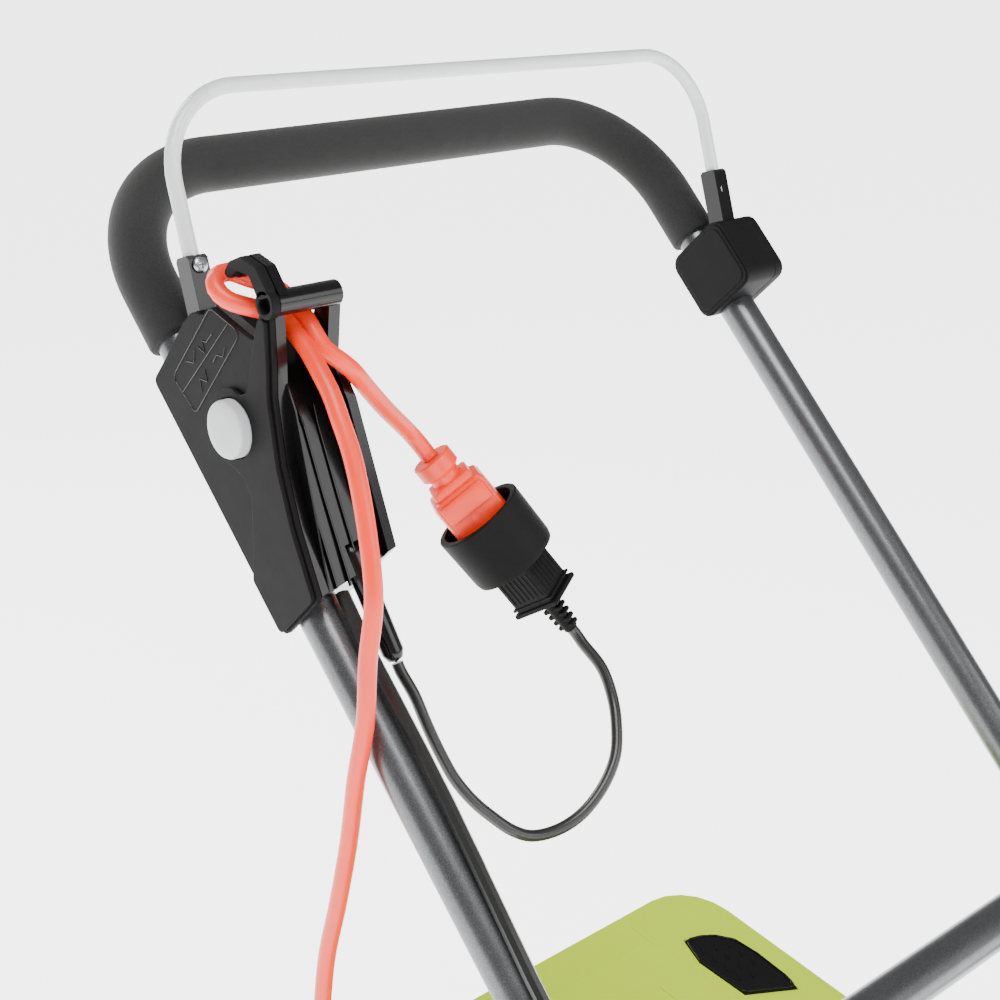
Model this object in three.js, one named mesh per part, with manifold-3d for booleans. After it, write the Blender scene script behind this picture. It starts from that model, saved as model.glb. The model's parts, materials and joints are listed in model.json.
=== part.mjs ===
// A corded electric push mower: U-shaped handle with foam grip, bail and switch box, a moulded deck
// with motor and blade, four wheels on height arms, a rear flap and a rigid grass box.
// Millimetres, +Z up. The mower faces -Y, and +X is the operator's left.
import * as THREE from 'three';
import { mergeGeometries, mergeVertices } from 'three/addons/utils/BufferGeometryUtils.js';
import Module from 'manifold-3d';

const wasm = await Module();
wasm.setup();

// ---- driving dimensions ----
const fit = 0.3; // gap between pieces that touch
const handle = {
  angle: 46.2, gripY: 522, gripZ: 985, spacing: 438, tube: 25, wall: 1.5, bend: 76, length: 760,
};
const grip = { diameter: 33.4, end: 113, sides: 16 };
const hoop = { tube: 28, wall: 1.5, top: 616, length: 1055, bend: 55, gap: 1 };
const bail = {
  rod: 9, pivotS: 130, pivotFront: 24, lean: 26.85, reachRight: 138.2, reachLeft: 130.7,
  bend: 50, inset: 1.5, socket: 18, hub: 8.5, pin: 6, leverTop: 48, leverWide: 13, leverThick: 12.4,
};
const housing = { top: 121, bottom: 172, front: 40, wide: 38, seam: 10, corner: 9 };
const box = { cover: 7, plate: 5.85, innerTop: 26, innerBottom: 41, top: 121, wall: 6 };
const button = { s: 188, front: 35.7, diameter: 32, proud: 7.5 };
const cord = { extension: 10, pigtail: 6.8, motor: 8 };
const deck = {
  rear: -80, front: -525, skirt: 52, top: 150, wall: 4, corner: 90,
  tunnelWide: 310, tunnelTop: 235, centreY: -330,
};
const blade = { length: 356, wide: 48, thick: 3, height: 62 };
const motor = { cover: 112, coverTop: 300, padTop: 158, stator: 52, rotor: 30, shaft: 12 };
const wheel = { rear: 90, front: 75, wide: 33, rearY: -128, frontY: -463.6, axle: 12 };
const arm = { thick: 4, gap: 0.6, reachY: 48, reachZ: 22, pivot: 8 };
const flap = { y: -86, z: 258, rod: 6, wide: 296, long: 118, thick: 3, rest: 29.7 };
const bin = {
  rear: 409, topZ: 396, slope: 10, wall: 2.6, corner: 42, mouthWide: 270,
};
const coil = { x: -62, y: 430, middle: 75, thick: 42, high: 38 };

// ---- derived values ----
const tilt = THREE.MathUtils.degToRad(handle.angle);
const tubeX = handle.spacing / 2;
const tubeR = handle.tube / 2;
const hoopR = hoop.tube / 2;
const hoopX = tubeX - tubeR - hoopR - hoop.gap;
const boxX = -tubeX;
const armX = tubeX - bail.inset;
const boxOuter = tubeR + box.cover;
const deckHalf = tubeX - 19;
const wheelInner = deckHalf + 7;
const binHalf = deckHalf - 2;
const binRise = Math.tan(THREE.MathUtils.degToRad(bin.slope));

const finish = {
  tube: { color: 0x55575b, roughness: 0.32, metalness: 0.85 },
  foam: { color: 0x2b2c2e, roughness: 0.95, metalness: 0 },
  bail: { color: 0xe8e9e8, roughness: 0.35, metalness: 0 },
  matte: { color: 0x232425, roughness: 0.62, metalness: 0 },
  gloss: { color: 0x121214, roughness: 0.25, metalness: 0 },
  button: { color: 0xdfe0e0, roughness: 0.4, metalness: 0 },
  rubber: { color: 0x1b1c1d, roughness: 0.5, metalness: 0 },
  orange: { color: 0xf4562f, roughness: 0.5, metalness: 0 },
  lime: { color: 0xcbdc3e, roughness: 0.4, metalness: 0 },
  zinc: { color: 0xb8bbbf, roughness: 0.35, metalness: 1 },
  steel: { color: 0x5c5e62, roughness: 0.45, metalness: 1 },
  wheel: { color: 0x1d1e20, roughness: 0.7, metalness: 0 },
  grey: { color: 0x9b9d9f, roughness: 0.5, metalness: 0 },
  copper: { color: 0xa65c32, roughness: 0.4, metalness: 0.9 },
};

// ---- solids and booleans ----
function solid(geometry) {
  const bare = geometry.clone();
  bare.deleteAttribute('normal');
  bare.deleteAttribute('uv');
  const merged = mergeVertices(bare, 1e-4);
  return new wasm.Manifold(new wasm.Mesh({
    numProp: 3,
    vertProperties: new Float32Array(merged.attributes.position.array),
    triVerts: new Uint32Array(merged.index.array),
  }));
}

function geometryOf(body) {
  const { vertProperties, triVerts } = body.getMesh();
  const geometry = new THREE.BufferGeometry();
  geometry.setAttribute('position', new THREE.BufferAttribute(new Float32Array(vertProperties), 3));
  geometry.setIndex(new THREE.BufferAttribute(new Uint32Array(triVerts), 1));
  geometry.computeVertexNormals();
  return geometry;
}

const join = (...parts) => geometryOf(parts.map(solid).reduce((a, b) => a.add(b)));
const cut = (base, ...tools) => geometryOf(tools.map(solid).reduce((a, b) => a.subtract(b), solid(base)));
const common = (a, b) => geometryOf(solid(a).intersect(solid(b)));

// ---- shapes ----
const outline = (points) => new THREE.Shape(points.map(([a, b]) => new THREE.Vector2(a, b)));

function circle(radius, sides, a = 0, b = 0) {
  return Array.from({ length: sides }, (_, i) => {
    const turn = ((i + 0.5) * 2 * Math.PI) / sides;
    return [a + radius * Math.cos(turn), b + radius * Math.sin(turn)];
  });
}

function roundedBox(a0, b0, a1, b1, radius, steps = 4) {
  const corners = [[a1 - radius, b1 - radius], [a0 + radius, b1 - radius],
    [a0 + radius, b0 + radius], [a1 - radius, b0 + radius]];
  return corners.flatMap(([a, b], quarter) => Array.from({ length: steps + 1 }, (_, i) => {
    const turn = ((quarter + i / steps) * Math.PI) / 2;
    return [a + radius * Math.cos(turn), b + radius * Math.sin(turn)];
  }));
}

// An outline of (y, z), (x, z) or (x, y) points, pulled from one value to another along the third axis.
function extrude(points, from, to, holes = []) {
  const shape = outline(points);
  shape.holes = holes.map(outline);
  const geometry = new THREE.ExtrudeGeometry(shape, { depth: to - from, bevelEnabled: false, steps: 1 });
  return geometry.translate(0, 0, from);
}
const turnTo = (a, b, c) => new THREE.Matrix4().makeBasis(
  new THREE.Vector3(...a), new THREE.Vector3(...b), new THREE.Vector3(...c));
const alongX = (points, from, to, holes) => extrude(points, from, to, holes)
  .applyMatrix4(turnTo([0, 1, 0], [0, 0, 1], [1, 0, 0]));
const alongY = (points, from, to, holes) => extrude(points, -to, -from, holes)
  .applyMatrix4(turnTo([1, 0, 0], [0, 0, 1], [0, -1, 0]));
const alongZ = extrude;
const rodX = (radius, from, to, y, z, sides = 16) => alongX(circle(radius, sides, y, z), from, to);
const rodY = (radius, from, to, x, z, sides = 16) => alongY(circle(radius, sides, x, z), from, to);
const rodZ = (radius, from, to, x, y, sides = 24) => alongZ(circle(radius, sides, x, y), from, to);

// A profile of (radius, height) points turned about Z, and the same turned about X.
function turned(profile, segments = 32) {
  return new THREE.LatheGeometry(profile.map(([r, h]) => new THREE.Vector2(r, h)), segments)
    .rotateX(Math.PI / 2);
}
const turnedX = (profile, segments) => turned(profile, segments).rotateY(Math.PI / 2);

// A path of straight runs joined by arcs, sampled only where it bends.
class BentPath extends THREE.Curve {
  constructor(points, radius, arcSteps = 6) {
    super();
    const corners = points.map((p) => new THREE.Vector3(...p));
    const last = corners.length - 1;
    this.stations = [{ at: corners[0], along: corners[1].clone().sub(corners[0]).normalize() }];
    for (let i = 1; i < last; i += 1) {
      const before = corners[i].clone().sub(corners[i - 1]).normalize();
      const after = corners[i + 1].clone().sub(corners[i]).normalize();
      const half = before.angleTo(after) / 2;
      const start = corners[i].clone().addScaledVector(before, -radius * Math.tan(half));
      const inward = after.clone().addScaledVector(before, -after.dot(before)).normalize();
      const centre = start.clone().addScaledVector(inward, radius);
      for (let k = 0; k <= arcSteps; k += 1) {
        const turn = (2 * half * k) / arcSteps;
        this.stations.push({
          at: centre.clone().addScaledVector(inward, -radius * Math.cos(turn))
            .addScaledVector(before, radius * Math.sin(turn)),
          along: before.clone().multiplyScalar(Math.cos(turn)).addScaledVector(inward, Math.sin(turn)),
        });
      }
    }
    this.stations.push({
      at: corners[last], along: corners[last].clone().sub(corners[last - 1]).normalize(),
    });
    this.steps = this.stations.length - 1;
  }

  station(u) {
    return this.stations[Math.round(u * this.steps)];
  }

  getPointAt(u) {
    return this.station(u).at.clone();
  }

  getTangentAt(u) {
    return this.station(u).along.clone();
  }
}

function sweep(path, section, hole) {
  const shape = outline(section);
  if (hole) shape.holes = [outline(hole)];
  return new THREE.ExtrudeGeometry(shape, {
    steps: path.steps, extrudePath: path, bevelEnabled: false,
  });
}

// A smooth cord through chosen points, with a ring every two and a half diameters.
function cordTube(points, diameter, sides = 8) {
  const path = new THREE.CatmullRomCurve3(points, false, 'centripetal');
  path.steps = Math.round(path.getLength() / (2.5 * diameter));
  return sweep(path, circle(diameter / 2, sides));
}

// A coil spring along X.
function springX(radius, wire, from, to, y, z, turns, stepsPerTurn = 8) {
  const steps = turns * stepsPerTurn;
  const run = to - from - wire;
  const points = Array.from({ length: steps + 1 }, (_, i) => {
    const turn = (i / stepsPerTurn) * 2 * Math.PI;
    return new THREE.Vector3(from + wire / 2 + (run * i) / steps,
      y + radius * Math.cos(turn), z + radius * Math.sin(turn));
  });
  const path = new THREE.CatmullRomCurve3(points);
  path.steps = steps;
  return sweep(path, circle(wire / 2, 4));
}

const mower = new THREE.Group();
// Inside this group y runs up along the tubes, z points forwards out of the handle's plane,
// and the grip's axis is the x axis.
const handleFrame = new THREE.Group();
handleFrame.position.set(0, handle.gripY, handle.gripZ);
handleFrame.rotation.x = tilt;
mower.add(handleFrame);

function place(group, name, geometry, look) {
  const mesh = new THREE.Mesh(geometry, new THREE.MeshStandardMaterial(look));
  mesh.name = name;
  group.add(mesh);
  return mesh;
}

// A point given across, down the tubes and behind the handle's plane, in the mower's own frame.
function onHandle([x, s, n]) {
  return new THREE.Vector3(x, handle.gripY - s * Math.cos(tilt) + n * Math.sin(tilt),
    handle.gripZ - s * Math.sin(tilt) - n * Math.cos(tilt));
}

// ---- handle ----
function handlePieces() {
  const tubePath = new BentPath([[-tubeX, -handle.length, 0], [-tubeX, 0, 0], [tubeX, 0, 0],
    [tubeX, -handle.length, 0]], handle.bend);
  place(handleFrame, 'upper_handle',
    sweep(tubePath, circle(tubeR, 14), circle(tubeR - handle.wall, 10)), finish.tube);
  const gripPath = new BentPath([[-tubeX, -grip.end, 0], [-tubeX, 0, 0], [tubeX, 0, 0],
    [tubeX, -grip.end, 0]], handle.bend);
  place(handleFrame, 'foam_grip',
    sweep(gripPath, circle(grip.diameter / 2, grip.sides), circle((tubeR + fit) * 1.035, 12)), finish.foam);
  const hoopPath = new BentPath([[-hoopX, -hoop.length, 0], [-hoopX, -hoop.top, 0],
    [hoopX, -hoop.top, 0], [hoopX, -hoop.length, 0]], hoop.bend);
  place(handleFrame, 'lower_handle',
    sweep(hoopPath, circle(hoopR, 14), circle(hoopR - hoop.wall, 10)), finish.tube);
}

// A bolt through both handle sections on each side, with a three-lobed knob outside.
const joint = { s: 700, bolt: 6, knob: 15, knobThick: 12.8, head: 14 };
const mirrored = (side, a, b) => [a * side, b * side].sort((p, q) => p - q);

function handleJoint() {
  const inner = hoopX - hoopR;
  const outer = tubeX + tubeR;
  for (const side of [-1, 1]) {
    const hand = side < 0 ? 'right' : 'left';
    const hole = rodX(joint.bolt / 2 + fit, ...mirrored(side, inner - 4, outer + 7), -joint.s, 0, 12);
    for (const name of ['upper_handle', 'lower_handle']) {
      const mesh = handleFrame.getObjectByName(name);
      mesh.geometry = cut(mesh.geometry, hole);
    }
    place(handleFrame, `handle_bolt_${hand}`, join(
      rodX(joint.bolt / 2, ...mirrored(side, inner - 3, outer + 6.5), -joint.s, 0, 12),
      rodX(joint.head / 2, ...mirrored(side, inner - 3.5, inner - fit), -joint.s, 0, 12)), finish.zinc);
    const lobes = [0, 1, 2].map((k) => {
      const turn = Math.PI / 2 + (k * 2 * Math.PI) / 3;
      return rodX(joint.knob * 0.42, ...mirrored(side, outer + 3, outer + joint.knobThick),
        -joint.s + joint.knob * 0.62 * Math.cos(turn), joint.knob * 0.62 * Math.sin(turn), 10);
    });
    const body = rodX(joint.knob * 0.6, ...mirrored(side, outer + fit, outer + joint.knobThick - 0.8),
      -joint.s, 0, 14);
    place(handleFrame, `handle_knob_${hand}`, cut(join(body, ...lobes), hole), finish.gloss);
  }
}

// ---- switch box, clamped round the operator's right tube ----
const backZ = -tubeR - 2.5;
const sideProfile = [[-291, backZ], [-291, 28], [-254, 40.6], [-224, 55], [-195, 75.6], [-183, 88],
  [-163.6, 106], [-156, 101], [-166.5, 85], [-155, 78], [-130, 65], [-129, 54], [-121.5, 46.6],
  [-121, 35.7], [-124, 10], [-126, backZ]];
const farProfile = [[-291, backZ], [-291, 28], [-278, 34], [-205, 76], [-192, 80], [-184, 82],
  [-172, 72], [-163, 66], [-130, 60], [-121.5, 46.6], [-121, 35.7], [-124, 10], [-126, backZ]];
const post = [[-176, 57], [-154, 105], [-160, 112], [-181, 87], [-187, 78], [-188, 56]];
const channelFloor = [[-300, 20], [-291, 24], [-240, 42], [-206, 55], [-180, 61], [-160, 64],
  [-145, 60], [-110, 60]];
const cavityBack = tubeR + 4.5;
const cavity = [[-236, cavityBack], [-236, 36], [-206, 51], [-188, 55], [-170, 57], [-150, 52],
  [-150, cavityBack]];
const hook = [[-159, 116.5], [-142, 118], [-130, 111], [-125.5, 100], [-127, 92], [-132, 93],
  [-133, 102], [-141, 109], [-154, 106]];
const bar = { y: -159, z: 109, radius: 6.8, boss: 7.5, hole: 4.6 };
const recess = [[-283, 20], [-247, 33], [-222, 30], [-222, -8], [-283, -8]];
const sleeve = { x: 18, s: 277, n: -25, diameter: 12.5, long: 57, lean: [0.12, -0.42, -0.9] };

function leverPocket(x) {
  const half = bail.leverWide / 2 + 0.9;
  const lean = THREE.MathUtils.degToRad(bail.lean);
  const pivot = ([y, z]) => [y - bail.pivotS, z + bail.pivotFront];
  const reach = 75;
  const slot = [[0, -half], [reach, -half - 1], [reach, reach * Math.sin(lean)],
    [reach * Math.cos(lean) - half * Math.sin(lean), reach * Math.sin(lean) + half * Math.cos(lean)],
    [-half * Math.sin(lean), half * Math.cos(lean)]].map(pivot);
  const wide = bail.leverThick / 2 + 0.4;
  return join(alongX(slot, x - wide, x + wide),
    rodX(bail.hub + 0.7, x - wide, x + wide, -bail.pivotS, bail.pivotFront, 20),
    rodX(bail.pin / 2 + fit, x - 10.3, x + 10.3, -bail.pivotS, bail.pivotFront, 12));
}

function switchBox() {
  const seam = -boxOuter + box.plate + fit / 2;
  const at = (x) => boxX + x;
  const faceHole = rodX(button.diameter / 2 + fit, at(-25), at(-10), -button.s, button.front, 28);
  const outerShell = join(alongX(sideProfile, at(-boxOuter), at(seam - fit)),
    rodX(bar.boss, at(-boxOuter), at(seam - fit), bar.y, bar.z, 16),
    alongX(hook, at(-boxOuter), at(seam - fit)));
  place(handleFrame, 'switch_box_outer', cut(outerShell, faceHole,
    rodX(bar.hole, at(-25), at(-16), bar.y, bar.z, 14),
    alongX(recess, at(-25), at(-17))), finish.matte);

  const right = [[box.innerTop, -110], [box.innerTop, -box.top], [31, -200],
    [box.innerBottom, -285], [box.innerBottom, -310]];
  const shift = ([x, y]) => [at(x), y];
  const beyond = alongZ([...right, [70, -310], [70, -110]].map(shift).reverse(), -30, 140);
  const under = alongZ([[seam - 1, -289.5], [seam - 1, -310], [70, -310], [70, -270],
    [box.innerBottom, -277]].map(shift), -30, 140);
  const channelPlan = alongZ([[seam + box.wall, -310], ...right.slice().reverse()
    .map(([x, y]) => [x - box.wall, y]), [seam + box.wall, -110]].map(shift), 0, 140);
  const channelSide = alongX([...channelFloor, [-110, 139], [-300, 139]].reverse(), at(-30), at(60));
  const farSide = cut(alongX(farProfile, at(seam + box.wall - 1), at(box.innerBottom)),
    beyond, common(channelPlan, channelSide));
  const shell = join(alongX(sideProfile, at(seam), at(seam + box.wall)), farSide,
    rodX(bar.radius, at(seam), at(box.innerTop), bar.y, bar.z, 16),
    alongX(post, at(20), at(box.innerTop + 1.5)),
    alongX(hook, at(seam), at(seam + box.wall)));
  const mouth = onSleeve();
  place(handleFrame, 'switch_box_inner', cut(shell, under,
    rodY(tubeR + fit, -320, -100, boxX, 0, 24),
    alongX(cavity, at(seam - 1), at(20)),
    rodX(button.diameter / 2 + 1.7, at(seam - 1), at(-4), -button.s, button.front, 24),
    leverPocket(-armX), mouth.socket), finish.gloss);
  place(handleFrame, 'cable_sleeve', mouth.body, finish.gloss);
}

// The moulded sleeve that carries the short lead out of the box's lower end.
function onSleeve() {
  const [x, y, z] = [boxX + sleeve.x, -sleeve.s, -sleeve.n];
  const make = (radius, from, to) => {
    const piece = rodZ(radius, -to, -from, 0, 0, 16);
    const down = new THREE.Vector3(...sleeve.lean).applyAxisAngle(new THREE.Vector3(1, 0, 0), -tilt);
    const turn = new THREE.Quaternion().setFromUnitVectors(new THREE.Vector3(0, 0, -1), down.normalize());
    return piece.applyQuaternion(turn).translate(x, y, z);
  };
  return {
    socket: make(sleeve.diameter / 2 + fit, -12, sleeve.long),
    body: make(sleeve.diameter / 2, -11.7, sleeve.long),
  };
}

function startButton() {
  const at = (x) => boxX + x;
  const face = -boxOuter - button.proud;
  const flangeX = -boxOuter + box.plate + fit + 0.15;
  const flange = button.diameter / 2 + 1;
  const profile = [[0, 0], [10, 0.3], [14, 1.2], [button.diameter / 2, 4],
    [button.diameter / 2, flangeX - face], [flange, flangeX - face], [flange, flangeX - face + 2.2],
    [4, flangeX - face + 2.2], [4, -face + 0.5], [0, -face + 0.5]];
  place(handleFrame, 'start_button', turnedX(profile, 24)
    .translate(at(face), -button.s, button.front), finish.button);
  place(handleFrame, 'button_spring', springX(7, 1.2, at(flangeX + 2.6), at(4.7),
    -button.s, button.front, 4), finish.zinc);
  place(handleFrame, 'micro_switch', join(
    alongX(roundedBox(-200, 26, -176, 45, 1.5, 2), at(5), at(19.7)),
    alongX(roundedBox(-192, 32, -184, 40, 1, 1), at(4.6), at(6))), finish.gloss);
}

// ---- bail and its two levers ----
const bailFrame = new THREE.Group();
bailFrame.position.set(0, -bail.pivotS, bail.pivotFront);
bailFrame.rotation.x = THREE.MathUtils.degToRad(bail.lean);
handleFrame.add(bailFrame);

function lever(side) {
  const x = side * armX;
  const half = bail.leverThick / 2;
  const wide = bail.leverWide / 2;
  const top = bail.leverTop;
  const arm = alongX([[0, -wide], [top - 2, -wide], [top, -wide + 2], [top, wide - 2],
    [top - 2, wide], [0, wide]], x - half, x + half);
  const parts = [arm, rodX(bail.hub, x - half, x + half, 0, 0, 20)];
  if (side > 0) {
    parts.push(alongX([[17, -3], [40, -3], [40, 3], [17, 3]], x + half - 1, x + half + 3));
  }
  const screwHole = side < 0
    ? rodZ(1.8, 0, 20, x, 42, 10)
    : rodZ(2.4, 0, 20, x, 34, 10);
  return cut(join(...parts), rodY(bail.rod / 2 + fit, bail.socket - fit, 90, x, 0, 14),
    rodX(bail.pin / 2 + fit, x - 20, x + 20, 0, 0, 12), screwHole);
}

function bailPieces() {
  const path = new BentPath([[-armX, bail.socket, 0], [-armX, bail.reachRight, 0],
    [armX, bail.reachLeft, 0], [armX, bail.socket, 0]], bail.bend, 7);
  const rod = sweep(path, circle(bail.rod / 2, 10));
  place(bailFrame, 'bail_rod', cut(rod, rodZ(1.8, -3.2, 20, -armX, 42, 10)), finish.bail);
  place(bailFrame, 'bail_lever_right', lever(-1), finish.gloss);
  place(bailFrame, 'bail_lever_left', lever(1), finish.gloss);
  const head = bail.leverWide / 2 + fit;
  place(bailFrame, 'bail_screw', turned([[0, -2.8], [1.4, -2.8], [1.4, head], [4.4, head],
    [4.4, head + 1.2], [3.4, head + 2.4], [0, head + 2.7]], 14).translate(-armX, 42, 0), finish.zinc);
  for (const side of [-1, 1]) {
    place(handleFrame, `bail_pin_${side < 0 ? 'right' : 'left'}`,
      rodX(bail.pin / 2, side * armX - 10, side * armX + 10, -bail.pivotS, bail.pivotFront, 14),
      finish.zinc);
  }
}

// ---- plain housing that holds the bail's other pivot ----
function pivotHousing() {
  const inner = tubeX - housing.wide / 2;
  const outer = tubeX + housing.wide / 2;
  const seam = tubeX + housing.seam;
  const side = roundedBox(-housing.bottom, backZ, -housing.top, housing.front,
    housing.corner, 4);
  const bore = rodY(tubeR + fit, -200, -100, tubeX, 0, 24);
  const springRoom = rodX(7.2, armX + 6, seam, -bail.pivotS, bail.pivotFront, 16);
  place(handleFrame, 'pivot_housing_inner', cut(alongX(side, inner, seam - fit / 2), bore,
    leverPocket(armX), springRoom), finish.matte);
  place(handleFrame, 'pivot_housing_outer', cut(alongX(side, seam + fit / 2, outer), bore),
    finish.matte);
  place(handleFrame, 'bail_spring', springX(5, 1.2, armX + 6.9, seam - 0.5, -bail.pivotS,
    bail.pivotFront, 3), finish.zinc);
}

handlePieces();
handleJoint();
switchBox();
startButton();
bailPieces();
pivotHousing();

// ---- short lead, its shrouded plug and the extension cord hooked over the box ----
const plug = {
  top: [-132.5, 330.4, 842.7], along: [0.4615, -0.3971, -0.7935], across: [-0.7, 0.4, -0.6],
  collar: 10, neck: 16, rim: 43, back: 79, bodyEnd: 109, end: 132,
};
const plugFrame = new THREE.Group();
const plugAxis = new THREE.Vector3(...plug.along).normalize();
const plugSide = new THREE.Vector3(...plug.across).addScaledVector(plugAxis,
  -plugAxis.dot(new THREE.Vector3(...plug.across))).normalize();
plugFrame.position.set(...plug.top);
plugFrame.setRotationFromMatrix(new THREE.Matrix4().makeBasis(plugSide,
  plugAxis.clone().cross(plugSide), plugAxis));
mower.add(plugFrame);

function plugs() {
  const prongs = [[-6.5, 0, 0.8, 3.2], [6.5, 0, 0.8, 3.2], [0, 9, 2, 2]];
  const slots = prongs.map(([x, y, a, b]) => alongZ(
    roundedBox(x - a - fit, y - b - fit, x + a + fit, y + b + fit, 0.4, 1), 56, 80));
  const face = plug.back - 4 - fit;
  place(plugFrame, 'extension_connector', cut(join(
    turned([[0, fit], [12, fit], [12, plug.collar], [9, plug.collar + 2], [9, plug.neck + 1],
      [0, plug.neck + 1]], 16),
    alongZ(roundedBox(-13, -11, 13, 11, 5, 3), plug.neck, plug.neck + 5),
    alongZ(roundedBox(-17, -14, 17, 14, 6, 3), plug.neck + 4, face)), ...slots), finish.orange);
  const cup = turned([[0, plug.back - 4], [22.4, plug.back - 4], [23, plug.rim], [27, plug.rim],
    [26, plug.back - 2], [24.5, plug.back], [0, plug.back]], 24);
  const body = alongZ(roundedBox(-14, -12.5, 14, 12.5, 3, 2), plug.back - 1, plug.bodyEnd);
  const lip = alongZ(roundedBox(-16.5, -14, 16.5, 14, 3, 2), plug.bodyEnd - 4, plug.bodyEnd - 1);
  body.rotateZ(0.715);
  lip.rotateZ(0.715);
  const rings = [0, 1, 2, 3, 4].map((i) => rodZ(7 - i * 0.22, plug.bodyEnd + 1.5 + i * 4.4,
    plug.bodyEnd + 4.6 + i * 4.4, 0, 0, 8));
  const core = rodZ(4.6, plug.bodyEnd - 1, plug.end, 0, 0, 8);
  const blades = prongs.map(([x, y, a, b]) => alongZ(
    roundedBox(x - a, y - b, x + a, y + b, 0.3, 1), 57, plug.back - 3));
  place(plugFrame, 'pigtail_plug', join(cup, body, lip, core, ...rings, ...blades), finish.rubber);
}

const vector = (list) => list.map((p) => new THREE.Vector3(...p));
const leadRoute = [[-68, 272, 729], [-64, 260, 716], [-66, 249, 701], [-72, 240, 689],
  [-81, 232, 676], [-95, 228, 663], [-112, 228, 652], [-128, 231, 647], [-143, 236, 647],
  [-154, 240, 653], [-163, 246, 662], [-172, 252, 673], [-179, 259, 686], [-184, 265, 701],
  [-188, 271, 717], [-191, 278, 734]];
const wrapRoute = [[54, 210.6, -65.2], [40, 203, -77.5], [26, 194.9, -90], [19.5, 188.8, -92.6],
  [14, 181.6, -93.4], [12.6, 172, -94.2], [12, 163, -94.4], [12, 157, -92.5], [10, 148, -92.3],
  [5, 138, -90.5],
  [-2, 129.5, -86.3], [-11, 123, -85], [-19, 124.5, -84.3], [-22.5, 131, -84.5], [-20.5, 139, -85.5],
  [-13, 146, -87.5], [-3.5, 152.5, -89.5], [2.3, 160.5, -91], [3.5, 170, -92], [2.5, 182, -95.5],
  [0, 196, -98.9], [-2, 211.5, -100.6], [-4, 227, -99.5], [-5, 241.3, -97], [-7, 257, -93.1]];
const riseRoute = [[-135, 332, 847], [-141, 335, 856]];
const fallRoute = [[-11, 265, 836], [-15, 257, 808], [-19, 258, 775], [-20, 260, 742],
  [-21, 268, 705], [-20, 277, 665], [-20, 288, 623], [-20, 301, 579], [-20, 310, 520],
  [-21, 320, 440], [-21, 328, 350], [-21, 334, 260], [-21, 340, 170], [-20, 348, 90],
  [-15, 360, 40], [-3, 380, 14], [13, 404, 6]];

function cords() {
  const [near, far] = [coil.middle - coil.thick / 2, coil.middle + coil.thick / 2];
  const ring = turned([[near + 12, 0], [far - 12, 0], [far, 12], [far, coil.high - 12],
    [far - 12, coil.high], [near + 12, coil.high], [near, coil.high - 12], [near, 12],
    [near + 12, 0]], 24);
  place(mower, 'extension_coil', ring.translate(coil.x, coil.y, fit), finish.orange);
  const land = new THREE.Vector3(coil.x - far - cord.extension / 2 - 1, coil.y, 14);
  const start = plugFrame.position.clone();
  place(mower, 'extension_cord', cordTube([start, start.clone().addScaledVector(plugAxis, -3),
    ...vector(riseRoute), ...wrapRoute.map(([x, ...rest]) => onHandle([boxX + x, ...rest])),
    ...vector(fallRoute.map(([x, ...rest]) => [boxX + x, ...rest])),
    land.clone().add(new THREE.Vector3(-8, -15, -5)), land],
  cord.extension), finish.orange);
  const leadStart = plugFrame.position.clone().addScaledVector(plugAxis, plug.end + fit);
  const sleeveAxis = new THREE.Vector3(...sleeve.lean).normalize();
  const sleeveEnd = onHandle([boxX + sleeve.x, sleeve.s, sleeve.n])
    .addScaledVector(sleeveAxis, sleeve.long + fit);
  place(mower, 'pigtail_cable', cordTube([leadStart, leadStart.clone().addScaledVector(plugAxis, 4),
    ...vector(leadRoute), sleeveEnd.clone().addScaledVector(sleeveAxis, 5), sleeveEnd],
  cord.pigtail), finish.rubber);
  const plugY = coil.y - coil.middle - coil.thick / 2 - fit;
  place(mower, 'extension_plug', join(
    alongX(roundedBox(plugY - 10, fit, plugY, 10 + fit, 4, 2), coil.x - 16, coil.x + 20),
    alongX(roundedBox(plugY - 27, fit, plugY - 1, 28, 6, 2), coil.x - 52, coil.x - 15),
    alongX(roundedBox(plugY - 21, 12, plugY - 19.4, 18.4, 0.4, 1), coil.x - 69, coil.x - 51),
    alongX(roundedBox(plugY - 8.6, 12, plugY - 7, 18.4, 0.4, 1), coil.x - 69, coil.x - 51),
    rodX(2.2, coil.x - 70, coil.x - 51, plugY - 14, 22.5, 10)), finish.orange);
}

// ---- motor cable, tied down the operator's right tube and into the motor cover ----
const lift = tubeR + cord.motor / 2 + 0.4;
const cableRoute = [[7, 287.4, -lift], [5.4, 294, -lift], [4.6, 404, -lift], [-0.5, 520, -lift],
  [0, 640, -lift - 0.3], [2, 720, -lift - 1.1], [8, 775, -lift - 2.1], [18, 815, -lift - 2.6],
  [26.5, 855, -lift - 2.6], [27.5, 900, -lift - 2.6]];
const inletRoute = [[-190, -150, 314], [-176, -175, 299], [-150, -205, 282], [-122, -232, 262],
  [-100, -250, 248], [-84, -262, 240], [-70, -272, 234]];
const clip = { s: 560, x: -0.4, wide: 12, wall: 2 };

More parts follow.
